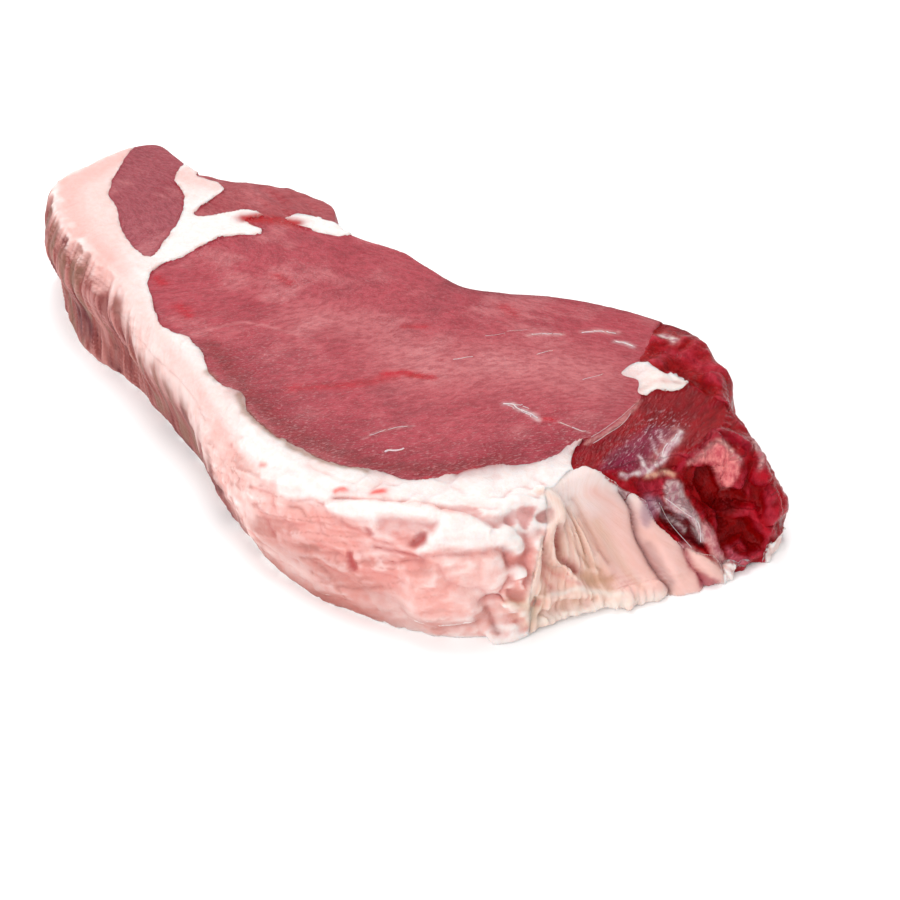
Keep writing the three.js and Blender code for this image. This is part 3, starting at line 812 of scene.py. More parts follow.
# %% [markdown]
# The torn end is lean that was pulled apart, not cut. A flap hangs over wet, nearly black pockets, and
# a web of silverskin runs over the top. Where the bands pass behind it, there is a plum hollow
# with a grey membrane beside it.

# %% Forms of the torn end
# kind, rise, softness, colour, strength of the colour, places on the torn end
END_FORMS = {
    "silvered top": ("patch", 0.3, 1.5, "silver mauve", 0.75,
                     [[-18.5, 8], [-15.5, 11], [-11.5, 14], [-8, 16], [-4.5, 17], [-2, 16], [-3, 14],
                      [-6, 11.5], [-7.5, 9], [-9.5, 7], [-13.5, 7.5]]),
    "dark top": ("patch", 0, 3, "crimson", 0.7,
                 [[-8, 22.5], [-2.5, 23], [3, 22.5], [5, 19.5], [0, 17.5], [-6.5, 18.5]]),
    "web glow": ("ridge", 0, 2.2, "pale rose", 0.35, [[-1, 15.2], [-3.2, 13], [-5.4, 10], [-8.3, 8.4]]),
    "web": ("ridge", 0.3, 0.75, "silver", 1,
            [[-0.2, 15.6], [-1.4, 13.8], [-2.8, 12.8], [-3.8, 11.4], [-4.6, 9.6], [-6.6, 8.6],
             [-7.8, 7.4], [-8.8, 7.2]]),
    "web branch": ("ridge", 0.2, 0.6, "silver", 0.9, [[-7.8, 7.6], [-9, 9.2], [-9.6, 10.6]]),
    "web second branch": ("ridge", 0.1, 0.4, "silver", 0.7, [[-5.2, 10.4], [-6.4, 12.4], [-6.6, 14]]),
    "web third branch": ("ridge", 0.1, 0.4, "silver", 0.6, [[-3.4, 12.8], [-4.6, 14.6], [-4.4, 16]]),
    "web foot": ("ridge", 0.2, 0.6, "silver", 0.9,
                 [[-8.6, 7.4], [-10.6, 6.9], [-12.4, 6.4], [-14, 6.6]]),
    "side of the hollow": ("ridge", 0.4, 0.6, "silver", 0.7,
                           [[-1.5, 0.5], [1, -1.6], [2.6, -3.4], [3.6, -5.4], [4.2, -7.6]]),
    "cream edge": ("ridge", 0.4, 0.8, "cream tan", 0.8,
                   [[-8, 6.4], [-5.6, 6.8], [-3.6, 7], [-2.4, 6.6]]),
    "rosy hollow": ("patch", -0.6, 1, "rosy lean", 0.8,
                    [[-10.5, 5], [-6, 5.5], [-3, 6.5], [-1.5, 4.5], [-3.5, 3], [-6, 2], [-8.5, 2.5]]),
    "purple tinge": ("patch", 0, 1.5, "slate mauve", 0.7,
                     [[-9, 1.5], [-7.5, 2.5], [-5, 1], [-4.5, -1], [-6, -2], [-8, -4.5], [-9.5, -3]]),
    "grey membrane": ("patch", 0.5, 0.8, "grey silver", 0.8,
                      [[-3.5, 5.5], [-0.5, 5], [0.5, 2.5], [1.5, 0], [3, -2], [3.5, -4], [4.5, -6.5],
                       [3, -7.5], [2, -5], [0.5, -2], [-1.5, -0.5], [-3.5, 1], [-4, 3]]),
    "plum hollow": ("patch", -1.6, 0.7, "plum black", 0.95,
                    [[-5, -0.5], [-2.5, -2], [0, -2], [2, -4.5], [3.5, -7], [4.5, -9], [1.5, -8],
                     [-0.5, -6.5], [-3, -4], [-4.5, -2.5]]),
    "left strand": ("ridge", 0.7, 0.6, "silver", 0.6,
                    [[-6.4, 0.6], [-4.4, -2], [-2, -3.4], [0.4, -5.6]]),
    "short strand": ("ridge", 0.4, 0.5, "silver", 0.6, [[-3.4, -0.4], [-1.6, -1.4], [0, -3]]),
    "right strand": ("ridge", 0.8, 0.6, "silver", 0.7,
                     [[-4, 1.5], [-2, -0.5], [0, -2], [2.5, -3.5], [4, -7.5]]),
    "lower band": ("patch", 0.9, 1, "pink band", 0.9,
                   [[0, -8], [3.5, -10], [7, -12.5], [11.5, -15.5], [8.5, -16.5], [5, -14.5],
                    [2, -11.5]]),
    "under the lower band": ("patch", -0.5, 1, "wine pink", 0.8,
                             [[3, -14], [5, -15], [8, -16.5], [7, -18], [4, -17.5]]),
    "between the bands": ("crease", -1.5, 0.7, "wine pink", 0.8,
                          [[0, -8], [1, -11.5], [3, -14.5], [4.5, -17]]),
    "slit in the lower band": ("crease", -1.3, 0.55, "wine", 0.9, [[8, -11], [9, -13], [11, -14]]),
    "pale column": ("patch", 0.6, 0.9, "pale rose", 0.75,
                    [[4.5, -3.5], [6.5, -5.5], [7.5, -8], [9, -11], [11.5, -13], [10, -14.5],
                     [7.5, -12], [5.5, -9], [4, -6.5]]),
    "left cavity": ("patch", -1.1, 1.4, "dark red", 0.8,
                    [[1.5, 7.5], [3.5, 5.5], [5, 2], [7, -0.5], [7.5, -3], [6.5, -3], [4, -0.5], [2, 3],
                     [0.5, 5.5]]),
    "cavity between": ("patch", -1.4, 1.2, "dark red", 0.85,
                       [[7, 2], [10.5, 3], [14.5, 2], [15, 0], [12, 0], [11.5, -2.5], [8.5, -2.5]]),
    "upper cavity": ("patch", -2, 0.9, "black red", 0.95,
                     [[3.5, 8.5], [5, 9], [6.5, 7.5], [7, 5.5], [8.5, 4], [11, 3.5], [10.5, 1], [9, -1],
                      [7, 0], [5.5, 2], [3.5, 5]]),
    "lower cavity": ("patch", -2, 0.9, "black red", 0.9,
                     [[8.5, -2], [11.5, -3], [14.5, -3], [16, -5.5], [18, -7], [18, -8.5], [15.5, -9.5],
                      [13, -7.5], [10.5, -8.5], [8.5, -9], [8, -5.5]]),
    "dusky tongue": ("patch", 0.5, 0.8, "dusty red", 0.7, [[8.5, 1], [11.5, 1], [11.5, -1.5], [9, -2]]),
    "flap": ("patch", 1.6, 0.7, "flap pink", 0.95,
             [[1.5, 9.5], [3, 11], [5, 12.5], [7.5, 13.5], [9, 12.5], [10.5, 11], [12, 9.5],
              [11.5, 6.5], [10.5, 4], [9, 3.5], [8, 5], [7, 7], [5.5, 9], [3.5, 9]]),
    "rim of the flap": ("ridge", 0.8, 0.7, "flap light", 0.8,
                        [[1, 9], [3, 10.5], [5.5, 12.5], [7.5, 14], [10, 12], [12, 9.5]]),
    "fold above the flap": ("ridge", 0.9, 1, "red lean", 0.6,
                            [[-1.5, 7.5], [1.5, 10.5], [4.5, 12.5], [7.5, 14.5], [11.5, 14],
                             [14, 12.5]]),
    "pale membrane": ("patch", 0.6, 0.7, "pale rose", 0.85,
                      [[15.5, 14.5], [17, 13.5], [18, 11], [17.5, 8.5], [16.5, 7.5], [16.5, 11],
                       [16, 12.5]]),
    "right lumps": ("ridge", 1, 2, "bright red", 0.7, [[17, 6.5], [19.5, 5.5], [21.5, 3], [22, -1]]),
    "low lumps": ("ridge", 1, 1.6, "bright red", 0.6, [[15, -0.5], [17, -3], [19, -5.5]]),
    "rosy fringe": ("patch", 0.4, 1, "rosy pink", 0.7,
                    [[10, -9], [12.5, -11], [15, -12], [13, -13], [10.5, -12]]),
}

# %% [markdown]
# Some forms are broader than any stroke: the flank is drawn in along the middle of its height, the
# foot of the thick end swells out to the board, and a cleft runs beside the island of seam fat. The
# broad ones rise in small steps, which leave fine lines like those of a knife.

# %% Broad swells
# x, y, z points, how far each swell reaches and how far it rises
SWELLS = [
    ([[15, -48.5, 14]], 7, 1.2),
    ([[-5, -38.5, 17]], 7, 1.4),
    ([[-102, 9.5, 9], [-86, -1.5, 9], [-68, -7.5, 9], [-51, -14.5, 9]], 6, -2.4),
    ([[-51, -14.5, 9], [-33, -23.5, 10], [-17, -31.5, 9]], 5, -1.6),
    ([[-96, 3.5, 20], [-79, -4.5, 20], [-61, -10.5, 20]], 4, 0.8),
    ([[85, 12.5, 25.5], [90, 20.5, 24.5]], 4, 0.8),
    ([[92, 32.5, 22], [98, 29.5, 14]], 5, -2.6),
    ([[88.5, -15, 1.5], [94, -7.5, 1.5], [99.5, -0.5, 1.5]], 4, 1.9),
    ([[73, 38.5, 26.5]], 4, -1.4),
    ([[70.5, 35, 26.6], [76, 34.6, 26.2], [80.5, 33, 25.6]], 1.6, -1.5),
    ([[80, 38, 24.5]], 4, 0.8),
    ([[67, 45.5, 26.5]], 4, 0.8),
    ([[85, -4, 18], [89, -4.4, 12], [93.4, -4, 5]], 2.4, 1.1),
]
# a swell that reaches further than this rises in steps of a millimetre
STEPPED_FROM = 3


def swell(points, path, reach, rise):
    """A soft rise round a path in space."""
    length = np.linalg.norm(np.diff(path, axis=0), axis=1).sum() if len(path) > 1 else 0
    line = curve_through(path, int(length / 0.6) + 2, closed=False)
    distance = distance_to(points, line, limit=3 * reach)
    if reach > STEPPED_FROM:
        distance = np.floor(distance)
    return rise * np.exp(-((distance / reach) ** 2)) * (distance < 3 * reach)


# %% [markdown]
# The sinew fan was once a flat sheet, gathered at the end of the eye's white point. Its pleats spread
# from there like the folds of a curtain, so noise is laid out by the angle round that point.

# %% The fine pleats of the fan
FAN_APEX = np.array([74, -18.5, 24.5])
FAN_ALONG, FAN_OUT = np.array([0.55, 0.83, 0]), np.array([0.83, -0.55, 0])


def fan_place(points):
    """Where a point lies in the fan: its angle round the point that the pleats spread from, in
    degrees, and how far below that point it is."""
    down = points - FAN_APEX
    fall = np.hypot(down @ FAN_OUT, down[:, 2]) + 6.2
    along = down @ FAN_ALONG + 1
    turn = np.degrees(np.arctan2(along, fall))
    return turn + 0.8 * noise(points, 9, 19), np.hypot(fall, along)


def pleats(points):
    turn, fall = fan_place(points)
    fibres = np.column_stack([turn / 2.6, fall / 16, np.zeros(len(points))])
    fine = 0.5 * noise(fibres, 1, 24) + 0.3 * noise(fibres * 2.3, 1, 25)
    return fine * smoothstep(26 - turn, 0, 8)


# %% [markdown]
# Now each tissue gets its own relief. Billowy fat is rounded noise at three sizes, the flank is noise
# stretched down the wall, and the torn lean is noise with deep creases. The forms and swells are
# added on top, and the sum moves every point of the skin along its normal.

# %% Noise that follows the wall
def flank_folds(wall):
    """Wall places squeezed so that noise on them runs down the wall in folds, as on the flank."""
    return np.column_stack([wall[:, 0] / 2.6 + 0.1 * wall[:, 1], wall[:, 1] / 14, 0 * wall[:, 0]])


def wisps_on(wall, long, thin):
    """Wall places squeezed so that noise on them lies in long thin wisps, aslant up the wall."""
    over, up = wall.T
    return np.column_stack([(over + up) / long, (up - 0.35 * over) / thin, 0 * over])


# %% Relief of the fat
def fat_relief(points, wall, warp, upright, is_):
    """Billows on the front, a torn hem, folds on the flank and a gentle swell on the top."""
    fat = is_["fat_cap"] + is_["seam_fat"] + is_["chine_fat"]
    front = fat * upright * smoothstep(points[:, 0], -30, 0)
    calm = smoothstep(points[:, 0], 40, 54)
    wisps = wisps_on(wall, 8, 1.5)
    height = front * ((0.5 - 0.3 * calm) * (lumps(warp, (10, 10, 7), 1) - 0.5)
                      + 0.3 * (lumps(warp, (5, 5, 3.4), 2) - 0.5) + 0.2 * (lumps(warp, 2.4, 3) - 0.5)
                      + 0.16 * noise(wisps, 1, 34) + 0.1 * noise(wisps * 2.2, 1, 36))
    hem = (smoothstep(wall[:, 0], 221, 224) * smoothstep(253 - wall[:, 0], 0, 2)
           * smoothstep(5 - wall[:, 1], 0, 3))
    height += hem * (0.6 * lumps(warp, (1.5, 1.5, 3), 37) - 0.2)
    height += is_["chine_fat"] * (0.8 * lumps(warp, 2.4, 38) - 0.2)
    drag = flank_folds(wall)
    flank = upright * smoothstep(-points[:, 0], 15, 45) * (points[:, 1] < 22)
    height += flank * (0.6 * noise(drag, 1, 5) + 0.3 * lumps(drag * 2.1, 1, 6)
                       + 0.4 * noise(points, 4, 7))
    rim = smoothstep(points[:, 0], -50, -20)
    height += fat * (1 - upright) * (0.35 * noise(points, 7, 8) + 0.22 * noise(points, 2.6, 9)
                                     + rim * 0.5 * (lumps(warp, 4, 35) - 0.5))
    return height + 0.25 * fat


# %% Relief of the lean
def lean_relief(points, warp, upright, is_):
    """Deep creases where the lean is torn, and a gentle swell where it is cut."""
    lean = 1 - is_["fat_cap"] - is_["seam_fat"] - is_["chine_fat"] - is_["sinew_fan"]
    torn = is_["end_muscle"] * smoothstep(upright + smoothstep(points[:, 0], 84, 92), 0.2, 0.8)
    height = torn * (0.5 - 0.8 * lumps(warp, (6, 6, 7), 11) ** 1.4 + 0.4 * (lumps(warp, 3, 12) - 0.4)
                     + 0.2 * (lumps(warp, 1.5, 13) - 0.4))
    height += lean * (1 - upright) * (0.28 * noise(points, 13, 14) + 0.12 * noise(points, 4, 15))
    height += is_["back_nodule"] * (1.3 * lumps(warp, 6, 16) + 0.5 * noise(warp, 2.6, 17) - 0.6)
    height += is_["rib_strip"] * 0.6 * noise(along(points, -18, 9, 2.4), 1, 18)
    return height - 0.2 * lean


# %% Sculpt
def sculpt(points, normals, is_):
    """How far each point of the skin has to move along its normal."""
    upright = smoothstep(1 - normals[:, 2], 0.12, 0.5) * smoothstep(points[:, 2], 0, 2)
    wall = wall_place(points, normals)
    warp = points + 1.4 * np.column_stack([noise(points, 5, seed) for seed in (31, 32, 33)])
    height = fat_relief(points, wall, warp, upright, is_) + lean_relief(points, warp, upright, is_)
    height += is_["sinew_fan"] * upright * pleats(points)
    for path, reach, rise in SWELLS:
        height += swell(points, path, reach, rise)
    for forms, place in ((WALL_FORMS, wall), (END_FORMS, end_place(points, normals))):
        for kind, rise, soft, _, _, corners in forms.values():
            if rise:
                height += rise * share_of(place, kind, soft, corners)
    return height


# the bands beside the fan are smooth, so the remesh's steps are evened out there first
BANDS_FROM = 22
bands = np.flatnonzero((region_is["sinew_fan"] > 0) & (fan_place(skin)[0] > BANDS_FROM))
clay.vertex_groups.new(name="bands").add(bands.tolist(), 1.0, "REPLACE")
finish_with(clay, "SMOOTH", factor=0.5, iterations=25, vertex_group="bands")
skin = points_of(clay)
height = sculpt(skin, normals_of(clay), region_is)
skin = skin + normals_of(clay) * height[:, None]
skin[:, 2] = np.maximum(skin[:, 2], 0)
move_points(clay, skin)
finish_with(clay, "SMOOTH", factor=0.35, iterations=1)
say("relief:", height.min().round(2), "to", height.max().round(2), "mm,")

# %% [markdown]
# ## Hollows and ridges
# Blood and juice gather in every crease and the light comes through every thin edge, so colour follows
# relief; creases are also painted darker as painted shade and ridges paler as painted highlight. The
# height of each point over its smoothed surroundings is measured once for small relief and once for
# broad relief, by walking over the mesh's edges and averaging neighbours.

# %% Hollows and ridges
def hollows(piece, points, normals, rounds):
    """How far each point lies below its smoothed surroundings, in mm. Ridges are below zero."""
    ends = np.empty(len(piece.data.edges) * 2, np.int32)
    piece.data.edges.foreach_get("vertices", ends)
    a, b = ends.reshape(-1, 2).T
    count = len(points)
    neighbours = (np.bincount(a, minlength=count) + np.bincount(b, minlength=count))[:, None]
    smooth = points
    for _ in range(rounds):
        sums = [np.bincount(a, smooth[b, axis], count) + np.bincount(b, smooth[a, axis], count)
                for axis in range(3)]
        smooth = np.column_stack(sums) / neighbours
    return ((smooth - points) * normals).sum(axis=1)


# how many rounds of averaging small relief and broad relief take
SMALL_ROUNDS, BROAD_ROUNDS = 10, 60
skin, facing = points_of(clay), normals_of(clay)
small_hollow = hollows(clay, skin, facing, SMALL_ROUNDS)
broad_hollow = hollows(clay, skin, facing, BROAD_ROUNDS)
say("hollows, mm:", *(np.percentile(field, [5, 95]).round(2) for field in (small_hollow, broad_hollow)))

# %% [markdown]
# ## Which way the grain runs
# Lean is a bundle of fibres and fat is not, so the fine grain has to be stretched along the fibres.
# Each point gets its own grain place: how far across the fibres it lies, how far along and how deep.
# In the eye the fibres swing round towards the back, in the fan they follow the pleats, and on the
# flank they follow the drag of the knife.

# %% Which way the grain runs
# y places 1 mm apart over the eye, how far over its fibres lean at each, and what that adds up to
FIBRE_Y = np.linspace(-60, 60, 121)
lean_over = 0.55 + 1.2 * smoothstep(FIBRE_Y, 5, 50)
swung = np.cumsum(lean_over) - lean_over[len(FIBRE_Y) // 2]


def grain_place(points, normals, wall, is_):
    """Each point's place across the fibres, along them and down into them."""
    y = points[:, 1]
    rate = np.interp(y, FIBRE_Y, lean_over)
    across = (points[:, 0] - np.interp(y, FIBRE_Y, swung)) / np.hypot(1, rate)
    place = np.column_stack([across, y * np.hypot(1, rate) / 2.2, points[:, 2] / 1.2])
    turn, fall = fan_place(points)
    fan = is_["sinew_fan"] > 0
    place[fan] = np.column_stack([turn / 3.2, fall / 9, 0 * turn])[fan]
    flank = (is_["fat_cap"] > 0) & (points[:, 0] < -8) & (points[:, 2] < 22)
    place[flank] = flank_folds(wall)[flank] * (1.6, 1.6, 1)
    soft = (is_["fat_cap"] + is_["seam_fat"] + is_["chine_fat"] > 0) & ~flank
    place[soft] = points[soft] / 1.5
    torn = is_["end_muscle"] + is_["back_nodule"] > 0
    place[torn] = points[torn] / (1.1, 1.1, 1.8)
    end_top = (is_["end_muscle"] > 0) & (normals[:, 2] > 0.75)
    place[end_top] = along(points, 96, 3.2, 1.0)[end_top]
    return place


wall, end = wall_place(skin, facing), end_place(skin, facing)
grain = grain_place(skin, facing, wall, region_is)
print("grain places, mm:", np.ptp(grain, axis=0).round(1))


# %% [markdown]
# ## Paint
# Meat isn't one colour per muscle. Fat goes from white at the rim to pink where blood lies in a
# crease, the flank is brown and grey, the fan is tan and the torn end is nearly black in its pockets.
# Part of this is painted light and shade: hollows, creases and the down-facing flank are painted darker
# as shade, and ridges, lump tops and the middle of the eye are painted paler as highlight and sheen.
# These colours depend on place, so they are painted on to the points of the skin, in sRGB as a
# painter would mix them, and the fine grain is left to the material.

# %% A palette
# what the wet glare adds to every colour, and how much brighter than white paint the light is
GLARE, LIGHT = 0.045, 1.26


def paint(red, green, blue):
    """The base colour that is seen as this sRGB colour, once the light and the wet glare are on it."""
    value = np.array([red, green, blue]) / 255
    seen = np.where(value <= 0.04045, value / 12.92, ((value + 0.055) / 1.055) ** 2.4)
    return np.maximum(seen - GLARE, 0.1 * seen) / LIGHT


PALETTE = {
    "lean": paint(190, 88, 97), "pale lean": paint(214, 134, 136), "red lean": paint(160, 44, 72),
    "tail lean": paint(176, 94, 102), "fork lean": paint(184, 96, 100), "dark lean": paint(162, 24, 60),
    "dull lean": paint(146, 78, 84), "wet red": paint(196, 34, 70), "blood": paint(188, 14, 58),
    "rosy lean": paint(196, 78, 90), "nodule lean": paint(168, 36, 50), "crimson": paint(146, 26, 60),
    "bright red": paint(192, 34, 66), "dark red": paint(148, 14, 30), "black red": paint(150, 8, 22),
    "dusty red": paint(126, 42, 52), "flap pink": paint(250, 156, 154),
    "flap light": paint(250, 200, 190), "white fat": paint(253, 247, 245),
    "pink fat": paint(250, 212, 206), "rosy fat": paint(244, 182, 174), "rose": paint(230, 150, 144),
    "dark rose": paint(192, 92, 92), "dusky": paint(186, 124, 116), "mauve": paint(236, 176, 172),
    "tan": paint(244, 208, 190), "tan shadow": paint(230, 182, 160), "ochre": paint(226, 176, 142),
    "cream": paint(250, 238, 230), "peach": paint(252, 224, 212), "beige": paint(230, 202, 180),
    "fleck": paint(240, 118, 112), "pink band": paint(250, 206, 198), "slate": paint(128, 90, 96),
    "slate mauve": paint(170, 140, 156), "silver mauve": paint(142, 76, 94),
    "silver": paint(238, 226, 224), "grey silver": paint(214, 196, 194),
    "plum black": paint(120, 36, 62), "cream tan": paint(238, 198, 170),
    "pale rose": paint(228, 186, 182), "wine pink": paint(180, 88, 100), "wine": paint(134, 34, 60),
    "rosy pink": paint(222, 122, 136), "brown": paint(158, 92, 88), "dark brown": paint(120, 64, 66),
    "grey brown": paint(150, 122, 106), "bark": paint(158, 126, 108),
    "dusty pink": paint(204, 148, 142),
}
BASE = {
    "fat_cap": "white fat", "seam_fat": "white fat", "chine_fat": "pink fat", "sinew_fan": "pink band",
    "eye_muscle": "lean", "tail_muscle": "tail lean", "rib_strip": "fork lean", "end_muscle": "dark lean",
    "back_nodule": "nodule lean",
}


def mix(base, colour, share):
    """Paints one colour of the palette over `base`, as strongly as `share` says at each point."""
    return base + (PALETTE[colour] - base) * np.clip(share, 0, 1)[:, None]


# %% [markdown]
# The cut top has marks: crimson along its front edge where juice gathers, a painted sheen in the middle
# where the wet top catches the light, red trails of blood, smears of silverskin near the back, a cleft
# painted dark, partly as shade, and a bark-like line at the fat's edge, partly a translucent edge and
# partly painted shadow. Each is a stroke along a path in plan.

# %% Marks on the top
# softness, colour, strength of the colour, x and y places
TOP_MARKS = {
    "front of the eye": (7, "red lean", 0.7,
                         [[-12, -18], [0, -25], [15, -31], [33, -31], [48, -25], [58, -14], [64, -4]]),
    "crimson along the front": (3.4, "crimson", 0.75,
                                [[-22, -17.5], [-12, -22.5], [0, -29], [15, -34], [33, -34], [48, -28],
                                 [58, -17]]),
    "back of the eye": (3.2, "dull lean", 0.7,
                        [[8, 37], [18, 38.5], [29, 45], [42, 49], [56, 51], [66, 50]]),
    "right of the eye": (4, "dull lean", 0.3, [[66, 4], [67, 14], [62, 22]]),
    # painted sheen: the eye's top painted paler where it catches the light
    "sheen": (13, "pale lean", 0.75, [[24, 2], [42, 16], [56, 20]]),
    "left sheen": (10, "pale lean", 0.5, [[-10, 4], [4, 8], [14, 6]]),
    "red trail": (1.8, "wet red", 0.7, [[5, -21.5], [9, -18], [13.4, -14.6], [17, -10], [21, -4.5]]),
    "red streak": (1.4, "wet red", 1, [[18.5, -5], [22, -2.2], [25.2, -1.2], [28, 0]]),
    "red drop": (1, "blood", 1, [[23.6, -2.4], [25.6, -1.4]]),
    "left red": (1.6, "wet red", 1, [[-50.8, -2.4], [-48.4, -3.4]]),
    "second left red": (2, "wet red", 0.9, [[-38.2, -8.7], [-34, -10.5]]),
    "middle red": (1.8, "wet red", 0.7, [[-28, 14.5], [-23, 13.5]]),
    "upper red": (1.4, "wet red", 0.7, [[10.7, 14], [14.5, 16.5]]),
    "back red": (2, "wet red", 0.7, [[24.5, 34.5], [28.5, 33]]),
    "red by the thread": (0.8, "wet red", 1, [[56.6, 0.4], [58.8, 1.6]]),
    "spur": (2.6, "blood", 1, [[-52, 32], [-48.2, 34.6], [-45, 36.2], [-42, 37.2], [-39.4, 37.8]]),
    "seam of the torn end": (0.6, "dusty pink", 0.8,
                             [[69.2, -1.5], [70.2, 3.8], [71, 8], [71, 13.5], [70.6, 19]]),
    "seam by the notch": (0.6, "pale lean", 0.7,
                          [[-27.4, -16.1], [-21.7, -6.7], [-14, -4], [-6.6, -3.3]]),
    "line by the tip": (0.35, "pale rose", 0.7, [[60.6, 1.8], [64.4, 1.7], [67.5, 2.2]]),
    "faint line": (0.35, "pale rose", 0.6, [[29, -27.5], [31.3, -22.4], [33, -19.8], [35, -17.5]]),
    # partly a translucent edge, partly painted shadow of the fat's raised edge
    "bark along the eye": (1, "bark", 0.75,
                           [[-3, -30], [1.9, -34], [8.2, -36.4], [15.8, -38], [28.5, -38.8],
                            [37, -36.6]]),
    "notch shade": (0.8, "bark", 0.6, [[-15.5, -26], [-12, -27.6]]),
    "skin along the back": (1, "brown", 0.75, [[-95, 51.5], [-86, 49.2], [-78, 46.2], [-69.5, 47.5]]),
    "white of the nodule": (1.2, "cream", 0.85, [[61.6, 44.6], [63.5, 44.4], [65.2, 43.6]]),
    "squiggle glow": (0.9, "silver", 0.55,
                      [[46.9, 0.9], [48.4, 1.6], [50, 0.8], [52.2, 0.9], [54.4, 0.6], [56.2, -0.2]]),
    "back smear": (0.9, "pale rose", 0.55, [[36.5, 27], [39.2, 29.6], [42.4, 32]]),
    "second back smear": (1, "pale rose", 0.65, [[45.8, 35.6], [48.7, 38], [52.6, 39.6]]),
    "third back smear": (0.9, "silver", 0.65, [[54, 36.2], [56.5, 36.8], [58.6, 36.6]]),
    # painted shade in the cleft, over its dark red
    "cleft by the island": (1.7, "black red", 0.95, [[70.5, 35], [76, 34.6], [80.5, 33]]),
    "nodule's light side": (2.2, "rosy lean", 0.6, [[66, 40], [72, 41], [78, 40]]),
    "wet curls": (0.8, "wet red", 0.5, [[48, -31.5], [51.3, -27.6], [53.6, -25], [55.4, -22]]),
}

# %% [markdown]
# Painting starts from a few fields that every tissue shares: how upright the place is, fine specks,
# broad blotches, and whether it lies in a crease or on a ridge. They break up each colour, so that no
# two places look the same. The crease field also paints shade into hollows, and the ridge field paints
# highlights on to raised places.

# %% Fields that the colours share
cap, fan_and_bands = region_is["fat_cap"], region_is["sinew_fan"]
fat = cap + region_is["seam_fat"] + region_is["chine_fat"]
lean = 1 - fat - fan_and_bands
torn = region_is["end_muscle"] + region_is["back_nodule"]
over, up = wall.T
x, y = skin[:, 0], skin[:, 1]
upright = smoothstep(1 - facing[:, 2], 0.15, 0.55)
speck, second_speck = noise(skin, 1.6, 41), noise(skin, 1.6, 47)
blotch, cloud = noise(skin, 7, 42), noise(skin, 11, 44)
# crease marks where shade is painted into hollows, ridge where highlights are painted on raised places
crease = smoothstep(small_hollow, 0.02, 0.3) + 0.6 * smoothstep(broad_hollow, 0.1, 1.2)
ridge = smoothstep(-small_hollow, 0.03, 0.35) + 0.5 * smoothstep(-broad_hollow, 0.1, 1.0)
colour = np.array([PALETTE[BASE[name]] for name in PIECES])[region]
print("crease covers", crease.mean().round(2), "ridge covers", ridge.mean().round(2))

# %% [markdown]
# Fat is white at the rim, where it was just cut, and pinker and darker down the wall, partly where blood
# has soaked in and partly as painted shade away from the light above. Creases are rosy, partly blood
# and partly painted shade, and ridges are painted white as highlight. Dusky threads of vein wander over
# the left of the wall, and the foot is painted dusky as shade low on the wall.

# %% Paint the fat
# painted shade: the wall turns pinker downwards, partly blood and partly shade away from the light
down = cap * smoothstep(30.5 - up, 0, 8)
colour = mix(colour, "pink fat", down * (0.85 + 0.3 * blotch))
rosy = smoothstep(blotch + 0.5 * speck, -0.7, 0.6) * (0.55 + 0.45 * smoothstep(over, 158, 174))
colour = mix(colour, "rosy fat", down * rosy)
colour = mix(colour, "pink fat", 0.35 * cap * (1 - upright) * smoothstep(blotch, 0.1, 0.7))
left_of_tail = -x - 60 - 0.64 * (y - 5)
tail_fat = cap * smoothstep(-x, 56, 72) * smoothstep(left_of_tail, -5, 4)
colour = mix(colour, "pink fat", 0.75 * tail_fat)
colour = mix(colour, "rosy fat", 0.55 * cap * smoothstep(-x, 48, 66) * smoothstep(40 - up, 0, 6))
# painted shade in creases, partly blood, and painted highlight on ridges
colour = mix(colour, "rose", 0.35 * fat * crease)
colour = mix(colour, "white fat", 0.6 * fat * ridge)
veins = noise(wisps_on(wall, 9, 1.7) + 0.3 * speck[:, None], 1, 51)
vein = (1 - smoothstep(np.abs(veins), 0.0, 0.34)) * smoothstep(blotch + 0.4 * second_speck, -0.4, 0.4)
colour = mix(colour, "dusky", 0.55 * down * vein * smoothstep(215 - over, 0, 20))
# painted shade: the foot of the wall is painted dusky
foot = cap * upright * smoothstep(7 - up, 0, 6) * smoothstep(207 - over, 0, 25)
colour = mix(colour, "dusky", foot)

# %% [markdown]
# The flank was dragged over while it was cut and has dried, so it is brown with grey and pale streaks
# that run down it. Its brown is also partly painted shade, because it faces down over the undercut
# foot, and its creases are painted darker as shade and its ridges mauve as highlight. How far up it
# reaches changes along the girth.

# %% Paint the dragged flank
# how far up the wall the flank reaches, at how far round the girth
FLANK_TOP = [(0, 26), (41, 31), (57, 33), (66, 30), (76, 25), (89, 20), (125, 17), (150, 6), (165, -9),
             (450, -9), (490, 20), (560, 26)]

limit = np.interp(over, *zip(*FLANK_TOP))
streak, fine_streak = noise(flank_folds(wall), 1, 43), noise(flank_folds(wall) * 2.3, 1, 48)
# painted shade: the down-facing flank is painted brown, over its own brown streaks
flank = cap * upright * smoothstep(limit + 2 * streak + speck - up, -4, 7)
colour = mix(colour, "brown", flank * (1.1 + 0.3 * streak))
# darker brown on streaks and blotches, and in creases as painted shade
dark = smoothstep(0.5 * streak + blotch + 0.6 * crease, -0.2, 0.8)
colour = mix(colour, "dark brown", flank * dark)
colour = mix(colour, "grey brown", 0.6 * flank * smoothstep(streak - blotch, 0.3, 1))
# painted highlight: mauve on the flank's ridges
colour = mix(colour, "mauve", 0.4 * flank * smoothstep(ridge - 0.7 * streak, 0.2, 1.0))
colour = mix(colour, "dusty pink", 0.3 * flank * smoothstep(fine_streak, 0.1, 0.6))

# %% [markdown]
# The fan is tan, painted darker in its valleys, partly as shade, and peach on its pleats, partly as
# painted highlight, and the smooth bands beside it stay pink, with painted shade in their creases.
# Both turn white where they join the fat of the rim.

